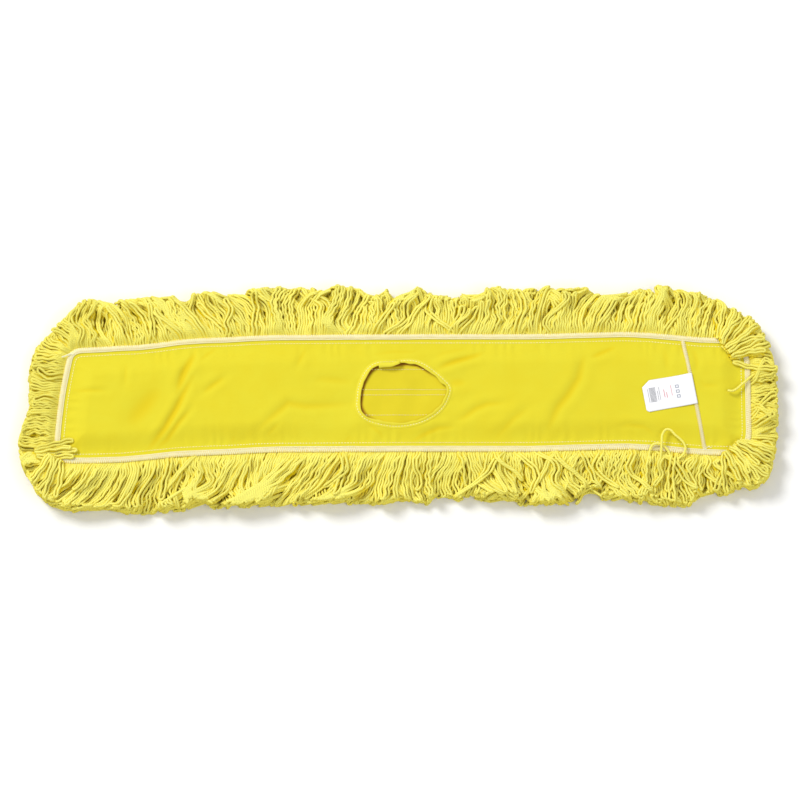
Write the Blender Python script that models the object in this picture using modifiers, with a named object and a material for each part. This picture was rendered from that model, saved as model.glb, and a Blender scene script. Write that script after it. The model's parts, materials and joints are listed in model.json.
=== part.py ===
"""Looped-yarn dust mop head, lying yarn side down with its frame pocket up.

+X runs along the head, +Y across it, and +Z is up. The origin is under the middle of the head, on the
surface that the yarn lies on. Outlines are drawn straight, and then bent to the slight sway of a head
that has been put down by hand.
"""

import math
from collections import namedtuple

import bpy
from mathutils import Vector

# Driving dimensions, in metres.
POCKET_LENGTH = 0.920
POCKET_WIDTH = 0.162
POCKET_RADII = (0.034, 0.032, 0.022, 0.013)  # back right, front right, front left, back left
END_SLANT = 0.185  # how far the left end leans along the head, for each metre across it
SLANT_FROM = -0.25
SLANT_TO = -0.42

FRINGE_BACK = 0.072
FRINGE_FRONT = 0.073
FRINGE_LEFT = 0.054
FRINGE_RIGHT = 0.040
FRINGE_RADIUS = 0.092
FRINGE_LAP = 0.0020  # how far the fringe reaches in under the backing
FRINGE_SECTION = (  # share of the way out to the tips, share of the pile's height
    (0.0, 0.0),
    (0.0, 1.0),
    (0.16, 0.99),
    (0.55, 0.76),
    (0.90, 0.44),
    (1.0, 0.20),
    (0.97, 0.0),
)

PILE_HEIGHT = 0.0237
SOLE_ROWS = 5
ROW_GAP = 0.0006
BACKING_THICKNESS = 0.0014
COVER_THICKNESS = 0.0010
POCKET_HEIGHT = 0.0076  # clear height inside, from the backing to the underside of the cover
FLANGE_WIDTH = 0.016  # flat margin of the cover, where it is sewn to the backing
SLOPE_WIDTH = 0.014  # the cover rises from its margin to its full height over this width
CLEARANCE = 0.0003

SERGING_WIDTH = 0.0085
SERGING_THICKNESS = 0.0012
THREAD_WIDTH = 0.0009
THREAD_THICKNESS = 0.0004
LOCKSTITCH_MARGIN = 0.0016  # from the lockstitch to where the cover starts to rise
BACKING_SEAM_SPACING = 0.0074  # between the two seams along the middle
PANEL_SEAM_X = 0.3865  # where the seam between the two cover panels crosses the middle
PANEL_SEAM_SLANT = math.radians(10.2)
PANEL_SEAM_WIDTH = 0.0052
PANEL_GAP = 0.0010
SEAM_STEPS = 6  # rounds that settle where the slanting seam meets an edge of the swayed cover

BINDING_WIDTH = 0.0070
BINDING_THICKNESS = 0.0014
BINDING_OVERHANG = 0.0010  # how far the tape stands in over the cover's cut edge
TAPE_END_LENGTH = 0.030
TAPE_END_WIDTH = 0.0062
TAPE_END_THICKNESS = 0.0010
TAPE_END_FROM = (0.0005, 0.0440)
TAPE_END_ANGLE = math.radians(197.0)

LABEL_LENGTH = 0.070
LABEL_WIDTH = 0.043
LABEL_THICKNESS = 0.0005
LABEL_BACK_CHAMFER = 0.011
LABEL_FRONT_CHAMFER = 0.003
LABEL_ALONG_SEAM = 0.0085  # the label's middle, from the middle of the seam

YARN_DIAMETER = 0.0032
SMALLEST_RADIUS = 0.002

# The mouth of the pocket: its inner edge, a lopsided oval.
MOUTH = (
    (-0.0530, -0.0060),
    (-0.0530, -0.0200),
    (-0.0420, -0.0330),
    (-0.0100, -0.0410),
    (0.0260, -0.0365),
    (0.0520, -0.0200),
    (0.0640, 0.0040),
    (0.0575, 0.0155),
    (0.0340, 0.0355),
    (0.0160, 0.0420),
    (-0.0080, 0.0405),
    (-0.0310, 0.0385),
    (-0.0435, 0.0270),
    (-0.0510, 0.0090),
)
MOUTH_CENTRE = (0.0010, -0.0025)
MOUTH_STEPS = 4

# The sway of the head: how far its middle line lies to the back, along its length.
SWAY = (
    (-0.520, -0.0120),
    (-0.400, -0.0110),
    (-0.270, 0.0000),
    (-0.180, 0.0040),
    (0.000, 0.0050),
    (0.150, 0.0050),
    (0.300, 0.0080),
    (0.410, 0.0000),
    (0.520, -0.0070),
)

# Yarn that has come loose and lies over the cover, in the head's own frame.
STRAY_LOOP = (
    (0.3480, -0.0976, 0.0265),
    (0.3500, -0.0891, 0.0300),
    (0.3512, -0.0806, 0.0330),
    (0.3520, -0.0716, 0.0355),
    (0.3524, -0.0626, 0.0378),
    (0.3532, -0.0541, 0.0380),
    (0.3580, -0.0466, 0.0368),
    (0.3645, -0.0471, 0.0366),
    (0.3700, -0.0531, 0.0364),
    (0.3765, -0.0586, 0.0358),
    (0.3820, -0.0646, 0.0350),
    (0.3845, -0.0721, 0.0336),
    (0.3815, -0.0796, 0.0322),
    (0.3740, -0.0861, 0.0306),
    (0.3665, -0.0931, 0.0278),
)
SMALL_LOOP = (
    (0.3335, -0.0926, 0.0272),
    (0.3352, -0.0826, 0.0308),
    (0.3368, -0.0736, 0.0317),
    (0.3405, -0.0666, 0.0325),
    (0.3465, -0.0646, 0.0332),
    (0.3530, -0.0666, 0.0330),
    (0.3590, -0.0716, 0.0321),
    (0.3630, -0.0786, 0.0310),
    (0.3640, -0.0876, 0.0300),
)
STRAY_TAIL = (
    (0.4420, 0.0079, 0.0366),
    (0.4490, 0.0074, 0.0360),
    (0.4550, 0.0109, 0.0345),
    (0.4610, 0.0164, 0.0335),
    (0.4670, 0.0219, 0.0322),
    (0.4730, 0.0274, 0.0304),
    (0.4790, 0.0324, 0.0270),
)

# Points along the runs of an outline: back, its right corner, right, corner, front, corner, left, corner.
RUN_STEPS = (26, 6, 6, 6, 26, 6, 6, 6)
BACK, RIGHT, FRONT, LEFT = 0, 2, 4, 6
RUN_NAMES = ("back", "back_right", "right", "front_right", "front", "front_left", "left", "back_left")

LOCKSTITCH_INSET = FLANGE_WIDTH - LOCKSTITCH_MARGIN - THREAD_WIDTH
BACKING_LOW = PILE_HEIGHT + CLEARANCE
BACKING_HIGH = BACKING_LOW + BACKING_THICKNESS
FLANGE_HIGH = BACKING_HIGH + CLEARANCE + COVER_THICKNESS
COVER_HIGH = BACKING_HIGH + POCKET_HEIGHT + COVER_THICKNESS
SEAM_HIGH = COVER_HIGH + CLEARANCE + SERGING_THICKNESS

Outline = namedtuple("Outline", "left right front back radii")
POCKET = Outline(-POCKET_LENGTH / 2, POCKET_LENGTH / 2, -POCKET_WIDTH / 2, POCKET_WIDTH / 2, POCKET_RADII)
FRINGE = Outline(
    POCKET.left - FRINGE_LEFT,
    POCKET.right + FRINGE_RIGHT,
    POCKET.front - FRINGE_FRONT,
    POCKET.back + FRINGE_BACK,
    (FRINGE_RADIUS,) * 4,
)


def through(points, t):
    """A smooth curve's point: 0 is its first point, 1 its second, and so on."""
    i = min(max(int(t), 0), len(points) - 2)
    t -= i
    before, a, b, after = (Vector(points[min(max(i + k, 0), len(points) - 1)]) for k in (-1, 0, 1, 2))
    rise_a, rise_b = (b - before) / 2, (after - a) / 2
    return (
        a * (1 - 3 * t**2 + 2 * t**3)
        + rise_a * (t - 2 * t**2 + t**3)
        + b * (3 * t**2 - 2 * t**3)
        + rise_b * (t**3 - t**2)
    )


def eased(share):
    share = min(max(share, 0.0), 1.0)
    return share * share * (3 - 2 * share)


def sway_at(x):
    low = 0
    while low < len(SWAY) - 2 and SWAY[low + 1][0] < x:
        low += 1
    (x0, y0), (x1, y1) = SWAY[low], SWAY[low + 1]
    return y0 + (y1 - y0) * eased((x - x0) / (x1 - x0))


def swayed(point):
    """A point of a straight outline, moved as the head lies."""
    x, y = point[0], point[1]
    lean = END_SLANT * eased((x - SLANT_FROM) / (SLANT_TO - SLANT_FROM))
    return Vector((x + lean * y, y + sway_at(x)))


def shrunk(outline, distance):
    return Outline(
        outline.left + distance,
        outline.right - distance,
        outline.front + distance,
        outline.back - distance,
        tuple(max(radius - distance, SMALLEST_RADIUS) for radius in outline.radii),
    )


def corner_centre(outline, run):
    """The middle of a corner's arc; run is 1, 3, 5 or 7."""
    radius = outline.radii[run // 2]
    x = outline.right - radius if run in (1, 3) else outline.left + radius
    y = outline.back - radius if run in (1, 7) else outline.front + radius
    return Vector((x, y)), radius


def corner_point(outline, run, share):
    centre, radius = corner_centre(outline, run)
    angle = math.pi / 2 * (2 - (run + 1) // 2 - share)
    return centre + radius * Vector((math.cos(angle), math.sin(angle)))


def run_point(outline, run, share):
    """A point of the straight outline, on one of its eight runs."""
    if run % 2:
        return corner_point(outline, run, share)
    start = corner_point(outline, (run - 1) % 8, 1)
    end = corner_point(outline, run + 1, 0)
    return start.lerp(end, share)


def rim(outline, first=0, count=8, trim=0.0):
    """Swayed points along some runs of an outline, with trim metres cut from both ends."""
    points = []
    for run in range(first, first + count):
        run %= 8
        length = (run_point(outline, run, 0) - run_point(outline, run, 1)).length
        low = trim / length if run == first % 8 else 0.0
        high = 1 - trim / length if run == (first + count - 1) % 8 else 1.0
        steps = RUN_STEPS[run]
        last = steps + (run == (first + count - 1) % 8 and count < 8)
        points += [run_point(outline, run, low + (high - low) * i / steps) for i in range(last)]
    return [swayed(point) for point in points]


def middle_of_head():
    xs, ys = zip(*rim(FRINGE))
    return Vector(((min(xs) + max(xs)) / 2, (min(ys) + max(ys)) / 2))


HEAD_MIDDLE = middle_of_head()


def placed(points, z):
    """Swayed points in the head's own frame, at one height or a height each."""
    heights = z if isinstance(z, (list, tuple)) else [z] * len(points)
    return [(p[0] - HEAD_MIDDLE.x, p[1] - HEAD_MIDDLE.y, h) for p, h in zip(points, heights)]


def clear_scene():
    for old in list(bpy.data.objects):
        bpy.data.objects.remove(old, do_unlink=True)
    for old in list(bpy.data.collections):
        bpy.data.collections.remove(old)


def new_collection(name):
    made = bpy.data.collections.new(name)
    bpy.context.scene.collection.children.link(made)
    return made


def new_material(name, colour, roughness):
    made = bpy.data.materials.new(name)
    made.use_nodes = True
    shader = made.node_tree.nodes["Principled BSDF"]
    shader.inputs["Base Color"].default_value = (*colour, 1.0)
    shader.inputs["Roughness"].default_value = roughness
    shader.inputs["Metallic"].default_value = 0.0
    return made


def new_object(name, data, material, collection):
    made = bpy.data.objects.new(name, data)
    data.materials.append(material)
    collection.objects.link(made)
    return made


def mesh_of(name, points, faces):
    mesh = bpy.data.meshes.new(name)
    mesh.from_pydata(points, [], faces)
    mesh.validate()
    return mesh


def thicken(obj, thickness):
    """Gives an open surface its thickness, upwards from where it is drawn."""
    solid = obj.modifiers.new("Thickness", "SOLIDIFY")
    solid.thickness = thickness
    solid.offset = 1.0
    solid.use_even_offset = True


def ribbon(name, inner, outer, thickness, material, collection, closed=False):
    """A flat band between two rows of points. The inner row lies to the right of the way that both run."""
    count = len(inner)
    faces = []
    for i in range(count if closed else count - 1):
        j = (i + 1) % count
        faces.append((i, j, count + j, count + i))
    made = new_object(name, mesh_of(name, inner + outer, faces), material, collection)
    thicken(made, thickness)
    return made


def flat_plate(name, points, low, high, material, collection):
    """A flat piece with this outline, from a filled curve."""
    curve = bpy.data.curves.new(name, "CURVE")
    curve.dimensions = "2D"
    curve.fill_mode = "BOTH"
    curve.extrude = (high - low) / 2
    spline = curve.splines.new("POLY")
    spline.points.add(len(points) - 1)
    for spot, point in zip(spline.points, points):
        spot.co = (point[0], point[1], 0.0, 1.0)
    spline.use_cyclic_u = True
    made = new_object(name, curve, material, collection)
    made.location.z = (low + high) / 2
    return made


def cutter(name, corners, low, high, collection):
    """An upright block with these corners, listed anticlockwise, which only cuts others."""
    count = len(corners)
    points = [(*corner[:2], z) for z in (low, high) for corner in corners]
    sides = [(i, (i + 1) % count, count + (i + 1) % count, count + i) for i in range(count)]
    caps = [tuple(reversed(range(count))), tuple(range(count, 2 * count))]
    made = bpy.data.objects.new(name, mesh_of(name, points, sides + caps))
    made.hide_render = True
    made.display_type = "WIRE"
    collection.objects.link(made)
    return made


def cut(obj, tool, operation):
    step = obj.modifiers.new(tool.name, "BOOLEAN")
    step.operation = operation
    step.object = tool


def seam_frame():
    """The panel seam's middle, and the unit vectors along it to the back and across it to the right."""
    along = Vector((-math.sin(PANEL_SEAM_SLANT), math.cos(PANEL_SEAM_SLANT)))
    across = Vector((along.y, -along.x))
    middle = Vector((PANEL_SEAM_X, sway_at(PANEL_SEAM_X)))
    return middle, along, across


def mouth(offset):
    """The pocket mouth's edge, moved out by offset."""
    loop = [Vector(p) for p in MOUTH]
    count = len(loop)
    wrapped = [loop[-1], *loop, loop[0], loop[1]]
    line = [through(wrapped, 1 + i / MOUTH_STEPS) for i in range(count * MOUTH_STEPS)]
    moved = []
    for i, point in enumerate(line):
        run = (line[(i + 1) % len(line)] - line[i - 1]).normalized()
        moved.append(point + offset * Vector((run.y, -run.x)) + Vector(MOUTH_CENTRE))
    return moved


def mouth_at(offset, z):
    return [(p.x, p.y + sway_at(HEAD_MIDDLE.x) - HEAD_MIDDLE.y, z) for p in mouth(offset)]


def make_backing(finish, home):
    flat_plate("base_backing", placed(rim(POCKET), 0.0), BACKING_LOW, BACKING_HIGH, finish, home)


def make_backing_seams(finish, home):
    """The rows of stitches that hold the sole's yarn, seen inside the pocket."""
    pitch = (POCKET_WIDTH - 2 * FRINGE_LAP) / SOLE_ROWS
    half = BACKING_SEAM_SPACING / 2
    rows = {"seam_centre_back": half, "seam_centre_front": -half, "seam_back": pitch, "seam_front": -pitch}
    low = POCKET.left + FLANGE_WIDTH + SLOPE_WIDTH
    high = POCKET.right - FLANGE_WIDTH - SLOPE_WIDTH
    steps = RUN_STEPS[BACK]
    for name, y in rows.items():
        line = [low + (high - low) * i / steps for i in range(steps + 1)]
        edges = [
            placed([swayed((x, y + side * THREAD_WIDTH / 2)) for x in line], BACKING_HIGH + CLEARANCE)
            for side in (-1, 1)
        ]
        ribbon(name, *edges, THREAD_THICKNESS, finish, home)


def cover_surface():
    """The underside of the whole cover: a flat margin, a slope and a flat top, as one open mesh."""
    levels = (
        (CLEARANCE, FLANGE_HIGH - COVER_THICKNESS),
        (FLANGE_WIDTH, FLANGE_HIGH - COVER_THICKNESS),
        (FLANGE_WIDTH + SLOPE_WIDTH, COVER_HIGH - COVER_THICKNESS),
    )
    points = []
    for inset, z in levels:
        points += placed(rim(shrunk(POCKET, inset)), z)
    count = len(points) // len(levels)
    faces = []
    for level in range(len(levels) - 1):
        base = level * count
        for i in range(count):
            j = (i + 1) % count
            faces.append((base + j, base + i, base + count + i, base + count + j))
    faces.append(tuple(reversed(range(len(points) - count, len(points)))))
    return points, faces


def make_cover(finish, home, tools):
    """The cover's two panels: one surface, cut along the seam, with the mouth cut in the long one."""
    middle, along, across = seam_frame()
    centre = middle - HEAD_MIDDLE
    reach = 2 * max(POCKET_LENGTH, POCKET_WIDTH)
    halves = {"cover_panel": -across, "end_panel": across}
    points, faces = cover_surface()
    for name, way in halves.items():
        panel = new_object(name, mesh_of(name, points, faces), finish, home)
        thicken(panel, COVER_THICKNESS)
        near = centre + way * PANEL_GAP / 2
        corners = [near - along * reach, near + along * reach]
        corners += [corner + way * reach for corner in reversed(corners)]
        if way is across:
            corners.reverse()
        cut(panel, cutter(name + "_side", corners, 0.0, 2 * COVER_HIGH, tools), "INTERSECT")
        if name == "cover_panel":
            edge = mouth_at(BINDING_OVERHANG, 0.0)
            cut(panel, cutter("mouth_cut", edge, BACKING_HIGH, 2 * COVER_HIGH, tools), "DIFFERENCE")


def make_mouth_trim(tape, thread, home):
    """The bias tape round the mouth, its overlapping end, and the row of stitches through it."""
    low = COVER_HIGH + CLEARANCE
    high = low + BINDING_THICKNESS
    edges = (mouth_at(BINDING_WIDTH, low), mouth_at(0.0, low))
    ribbon("opening_binding", *edges, BINDING_THICKNESS, tape, home, closed=True)
    run = Vector((math.cos(TAPE_END_ANGLE), math.sin(TAPE_END_ANGLE)))
    side = Vector((-run.y, run.x)) * TAPE_END_WIDTH / 2
    start = Vector(TAPE_END_FROM) + Vector(MOUTH_CENTRE)
    start.y += sway_at(HEAD_MIDDLE.x) - HEAD_MIDDLE.y
    end = start + run * TAPE_END_LENGTH
    corners = [start - side, end - side, end + side, start + side]
    tape_low = high + CLEARANCE
    flat_plate("binding_overlap", corners, tape_low, tape_low + TAPE_END_THICKNESS, tape, home)
    stitches = [
        mouth_at(BINDING_WIDTH / 2 + side * THREAD_WIDTH / 2, high + CLEARANCE)[: -5 * MOUTH_STEPS]
        for side in (1, -1)
    ]
    ribbon("opening_stitching", *stitches, THREAD_THICKNESS, thread, home)


def rim_ribbon(name, first, count, inset, width, thickness, finish, home, trim=CLEARANCE):
    """A band along some runs of the pocket's edge, on the cover's margin."""
    z = FLANGE_HIGH + CLEARANCE
    inner = placed(rim(shrunk(POCKET, inset + width), first, count, trim), z)
    outer = placed(rim(shrunk(POCKET, inset), first, count, trim), z)
    return ribbon(name, inner, outer, thickness, finish, home)


def make_edge_serging(finish, home):
    runs = {"back": (BACK, 1), "right": (BACK + 1, 3), "front": (FRONT, 1), "left": (FRONT + 1, 3)}
    for side, (first, count) in runs.items():
        name = "serging_" + side
        rim_ribbon(name, first, count, 0.0, SERGING_WIDTH, SERGING_THICKNESS, finish, home)


def make_lockstitch(finish, home, tools):
    """The row of stitches inside the serging: one length on each panel, with the seam between them."""
    middle, along, across = seam_frame()
    centre = middle - HEAD_MIDDLE
    reach = 2 * max(POCKET_LENGTH, POCKET_WIDTH)
    for name, way in {"lockstitch_cover": -across, "lockstitch_end": across}.items():
        z = FLANGE_HIGH + CLEARANCE
        inner = placed(rim(shrunk(POCKET, LOCKSTITCH_INSET + THREAD_WIDTH)), z)
        outer = placed(rim(shrunk(POCKET, LOCKSTITCH_INSET)), z)
        row = ribbon(name, inner, outer, THREAD_THICKNESS, finish, home, closed=True)
        near = centre + way * (CLEARANCE + (PANEL_SEAM_WIDTH if way is not across else PANEL_GAP))
        corners = [near - along * reach, near + along * reach]
        corners += [corner + way * reach for corner in reversed(corners)]
        if way is across:
            corners.reverse()
        cut(row, cutter(name + "_side", corners, 0.0, 2 * COVER_HIGH, tools), "INTERSECT")


def seam_point(side, inset, end):
    """The point of a line along the panel seam, side metres across from it, that is inset from the cover's
    back edge, or its front edge where end is -1."""
    middle, along, across = seam_frame()
    target = end * (POCKET_WIDTH / 2 - inset)
    distance = 0.0
    for _ in range(SEAM_STEPS):
        point = middle + along * distance + across * side
        distance += (target - (point.y - sway_at(point.x))) / along.y
    return middle + along * distance + across * side


def make_panel_seam(finish, home):
    """The serging over the seam between the panels, which follows the cover up and down."""
    edges = []
    insets = (SERGING_WIDTH + 2 * CLEARANCE, FLANGE_WIDTH, FLANGE_WIDTH + SLOPE_WIDTH)
    heights = (FLANGE_HIGH, FLANGE_HIGH, COVER_HIGH)
    for side in (0.0, -PANEL_SEAM_WIDTH):
        front = [seam_point(side, inset, -1) for inset in insets]
        back = [seam_point(side, inset, 1) for inset in reversed(insets)]
        levels = [z + 2 * CLEARANCE for z in heights + heights[::-1]]
        edges.append(placed(front + back, levels))
    ribbon("panel_seam_serging", edges[0], edges[1], SERGING_THICKNESS, finish, home)


def make_label(finish, home):
    """The care label, sewn into the panel seam by its right edge, where it turns."""
    middle, along, _ = seam_frame()
    hinge = middle + along * LABEL_ALONG_SEAM - HEAD_MIDDLE
    half = LABEL_WIDTH / 2
    corners = (
        (0.0, -half),
        (0.0, half),
        (LABEL_BACK_CHAMFER - LABEL_LENGTH, half),
        (-LABEL_LENGTH, half - LABEL_BACK_CHAMFER),
        (-LABEL_LENGTH, LABEL_FRONT_CHAMFER - half),
        (LABEL_FRONT_CHAMFER - LABEL_LENGTH, -half),
    )
    low = SEAM_HIGH + 2 * CLEARANCE
    label = flat_plate("care_label", corners, low, low + LABEL_THICKNESS, finish, home)
    label.location.xy = hinge
    label.rotation_euler.z = PANEL_SEAM_SLANT


def make_fringe(finish, home):
    """The loops that stand out round the head: one length for each side and one for each corner."""
    inner = shrunk(POCKET, FRINGE_LAP)
    for run, name in enumerate(RUN_NAMES):
        near = rim(inner, run, 1, CLEARANCE)
        far = rim(FRINGE, run, 1, 2 * CLEARANCE)
        count = len(FRINGE_SECTION)
        points = []
        for a, b in zip(near, far):
            for out, up in FRINGE_SECTION:
                points += placed([a.lerp(b, out)], up * PILE_HEIGHT)
        faces = []
        for i in range(len(near) - 1):
            for k in range(count):
                j = (k + 1) % count
                faces.append((i * count + k, (i + 1) * count + k, (i + 1) * count + j, i * count + j))
        faces.append(tuple(range(count)))
        faces.append(tuple(reversed(range(len(points) - count, len(points)))))
        new_object("fringe_" + name, mesh_of(name, points, faces), finish, home)


def end_limit(outline, y, right):
    """How far a straight outline reaches along the head at y, to the right or the left."""
    runs = (1, 3) if right else (7, 5)
    sign = 1 if right else -1
    reach = outline.right if right else outline.left
    for run, beyond in zip(runs, (1, -1)):
        centre, radius = corner_centre(outline, run)
        past = beyond * (y - centre.y)
        if past > 0:
            reach = centre.x + sign * math.sqrt(max(radius**2 - past**2, 0.0))
    return reach


def make_sole(finish, home):
    """The rows of looped yarn under the backing."""
    area = shrunk(POCKET, FRINGE_LAP + ROW_GAP)
    pitch = (area.back - area.front) / SOLE_ROWS
    steps = RUN_STEPS[BACK]
    across = RUN_STEPS[BACK + 1]
    for row in range(SOLE_ROWS):
        low = area.front + row * pitch + (ROW_GAP / 2 if row else 0.0)
        high = area.front + (row + 1) * pitch - (ROW_GAP / 2 if row < SOLE_ROWS - 1 else 0.0)
        ys = [low + (high - low) * i / across for i in range(across + 1)]
        left = [(end_limit(area, y, False), y) for y in ys]
        right = [(end_limit(area, y, True), y) for y in reversed(ys)]
        line = left
        for start, end in ((left[-1], right[0]), (right[-1], left[0])):
            line = line + [Vector(start).lerp(Vector(end), i / steps) for i in range(1, steps)]
            if start is left[-1]:
                line = line + right
        points = [swayed(point) for point in line]
        flat_plate(f"sole_row_{row + 1}", placed(points, 0.0), 0.0, PILE_HEIGHT, finish, home)


def make_stray(name, route, finish, home):
    """A length of loose yarn along its route."""
    length = sum((Vector(b) - Vector(a)).length for a, b in zip(route, route[1:]))
    steps = max(round(length / (2.2 * YARN_DIAMETER)), len(route))
    curve = bpy.data.curves.new(name, "CURVE")
    curve.dimensions = "3D"
    curve.bevel_depth = YARN_DIAMETER / 2
    curve.bevel_resolution = 2
    curve.use_fill_caps = True
    spline = curve.splines.new("POLY")
    spline.points.add(steps)
    for i, spot in enumerate(spline.points):
        spot.co = (*through(route, i * (len(route) - 1) / steps), 1.0)
    new_object(name, curve, finish, home)


def main():
    clear_scene()
    home = new_collection("dust_mop_head")
    tools = new_collection("cutters")
    cloth = new_material("yellow_cloth", (0.80, 0.70, 0.045), 0.75)
    yarn = new_material("yellow_yarn", (0.84, 0.76, 0.16), 0.9)
    thread = new_material("cream_thread", (0.86, 0.78, 0.34), 0.7)
    paper = new_material("white_label", (0.88, 0.88, 0.90), 0.6)
    make_sole(yarn, home)
    make_fringe(yarn, home)
    make_backing(cloth, home)
    make_backing_seams(thread, home)
    make_cover(cloth, home, tools)
    make_mouth_trim(cloth, thread, home)
    make_edge_serging(thread, home)
    make_lockstitch(thread, home, tools)
    make_panel_seam(thread, home)
    make_label(paper, home)
    make_stray("stray_loop", STRAY_LOOP, yarn, home)
    make_stray("stray_loop_small", SMALL_LOOP, yarn, home)
    make_stray("stray_tail", STRAY_TAIL, yarn, home)


main()
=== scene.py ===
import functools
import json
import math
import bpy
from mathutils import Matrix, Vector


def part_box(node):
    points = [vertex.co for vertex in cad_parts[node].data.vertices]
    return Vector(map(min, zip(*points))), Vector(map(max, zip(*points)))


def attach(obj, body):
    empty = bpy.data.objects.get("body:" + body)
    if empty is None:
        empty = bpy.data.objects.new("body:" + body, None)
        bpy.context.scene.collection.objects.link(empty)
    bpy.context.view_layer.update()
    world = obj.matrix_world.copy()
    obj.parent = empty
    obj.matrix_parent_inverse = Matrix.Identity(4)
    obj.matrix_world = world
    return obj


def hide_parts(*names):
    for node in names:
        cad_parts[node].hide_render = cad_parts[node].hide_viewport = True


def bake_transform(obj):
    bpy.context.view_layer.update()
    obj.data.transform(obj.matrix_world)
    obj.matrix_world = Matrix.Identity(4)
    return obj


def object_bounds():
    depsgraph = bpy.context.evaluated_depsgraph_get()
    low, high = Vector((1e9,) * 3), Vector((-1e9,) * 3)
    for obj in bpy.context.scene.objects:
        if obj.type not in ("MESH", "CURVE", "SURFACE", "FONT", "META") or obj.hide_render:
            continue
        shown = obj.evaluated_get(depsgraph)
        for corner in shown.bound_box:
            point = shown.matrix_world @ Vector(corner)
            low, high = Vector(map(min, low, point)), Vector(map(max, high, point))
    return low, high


bl_info = {
    "name": "Dust mop head",
    "version": (1, 0, 0),
    "blender": (4, 5, 0),
    "location": "3D View > Sidebar > Mop Head",
    "description": "Cloth, stitching and looped yarn of a dust mop head, made round its packed frame",
    "category": "Add Mesh",
}

from collections import namedtuple

import bpy
import numpy as np
from bpy.props import FloatProperty, FloatVectorProperty, IntProperty, PointerProperty
from mathutils import Vector
from mathutils.kdtree import KDTree

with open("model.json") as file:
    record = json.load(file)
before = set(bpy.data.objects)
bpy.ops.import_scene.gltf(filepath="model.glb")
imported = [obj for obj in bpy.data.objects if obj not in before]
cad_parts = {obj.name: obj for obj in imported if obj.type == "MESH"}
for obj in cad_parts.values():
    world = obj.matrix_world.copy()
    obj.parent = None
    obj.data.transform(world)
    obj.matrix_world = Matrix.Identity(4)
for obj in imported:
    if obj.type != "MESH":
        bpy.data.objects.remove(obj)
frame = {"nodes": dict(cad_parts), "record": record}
CAD_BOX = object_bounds()

HEAD = "head"
SIDES = ("back_right", "back", "back_left", "left", "front_left", "front", "front_right", "right")
TAU = 2 * math.pi

# The cover's folds: (depth, half width, points along the fold), in metres.
FOLDS = (
    (0.0030, 0.0050, ((-0.275, 0.064), (-0.291, 0.030), (-0.299, 0.006))),
    (
        0.0030,
        0.0045,
        ((-0.278, 0.027), (-0.290, 0.004), (-0.300, -0.018), (-0.314, -0.043), (-0.341, -0.077)),
    ),
    (0.0022, 0.0040, ((-0.279, -0.016), (-0.296, -0.036), (-0.311, -0.058), (-0.330, -0.074))),
    (0.0018, 0.0045, ((-0.233, 0.028), (-0.254, 0.013), (-0.265, 0.004))),
    (0.0014, 0.0040, ((-0.245, 0.070), (-0.260, 0.059), (-0.270, 0.049))),
    (0.0014, 0.0035, ((-0.449, 0.012), (-0.431, 0.009), (-0.392, 0.008))),
    (0.0010, 0.0040, ((-0.368, 0.052), (-0.369, 0.012))),
    (0.0020, 0.0130, ((-0.321, 0.015), (-0.344, -0.015), (-0.366, -0.041))),
    (0.0014, 0.0045, ((-0.124, 0.073), (-0.133, 0.053), (-0.139, 0.040))),
    (0.0012, 0.0060, ((-0.118, 0.021), (-0.104, 0.025), (-0.060, 0.021))),
    (
        0.0016,
        0.0055,
        ((-0.063, -0.009), (-0.125, -0.013), (-0.149, -0.009), (-0.179, -0.036), (-0.201, -0.056)),
    ),
    (0.0012, 0.0040, ((-0.160, -0.035), (-0.180, -0.056))),
    (0.0012, 0.0030, ((-0.221, -0.050), (-0.224, -0.066))),
    (0.0013, 0.0030, ((-0.064, -0.050), (-0.077, -0.067))),
    (0.0013, 0.0035, ((-0.046, -0.032), (-0.026, -0.049), (-0.020, -0.060))),
    (0.0014, 0.0040, ((-0.037, 0.059), (-0.010, 0.064), (0.018, 0.064), (0.036, 0.071))),
    (0.0026, 0.0045, ((0.116, 0.063), (0.104, 0.058), (0.077, 0.050), (0.063, 0.045), (0.051, 0.039))),
    (0.0012, 0.0050, ((0.043, 0.052), (0.059, 0.062), (0.098, 0.070))),
    (0.0016, 0.0070, ((0.066, 0.019), (0.092, 0.021))),
    (0.0018, 0.0050, ((0.149, -0.008), (0.119, -0.010), (0.104, -0.016), (0.089, -0.027), (0.073, -0.034))),
    (0.0020, 0.0040, ((0.078, -0.041), (0.053, -0.043), (0.032, -0.052), (0.012, -0.064))),
    (0.0022, 0.0045, ((0.295, 0.072), (0.278, 0.064), (0.266, 0.058), (0.257, 0.055))),
    (0.0020, 0.0060, ((0.252, 0.066), (0.242, 0.025), (0.227, 0.001), (0.214, -0.015), (0.197, -0.053))),
    (0.0014, 0.0060, ((0.180, -0.011), (0.155, -0.030), (0.131, -0.055), (0.120, -0.066))),
    (0.0010, 0.0050, ((0.358, 0.072), (0.362, 0.036))),
    (0.0012, 0.0045, ((0.396, 0.072), (0.402, 0.047), (0.400, 0.033))),
    (0.0014, 0.0040, ((0.291, -0.043), (0.308, -0.039), (0.329, -0.041), (0.345, -0.053))),
    (0.0011, 0.0045, ((0.403, 0.026), (0.412, 0.016), (0.434, 0.016))),
)

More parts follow.
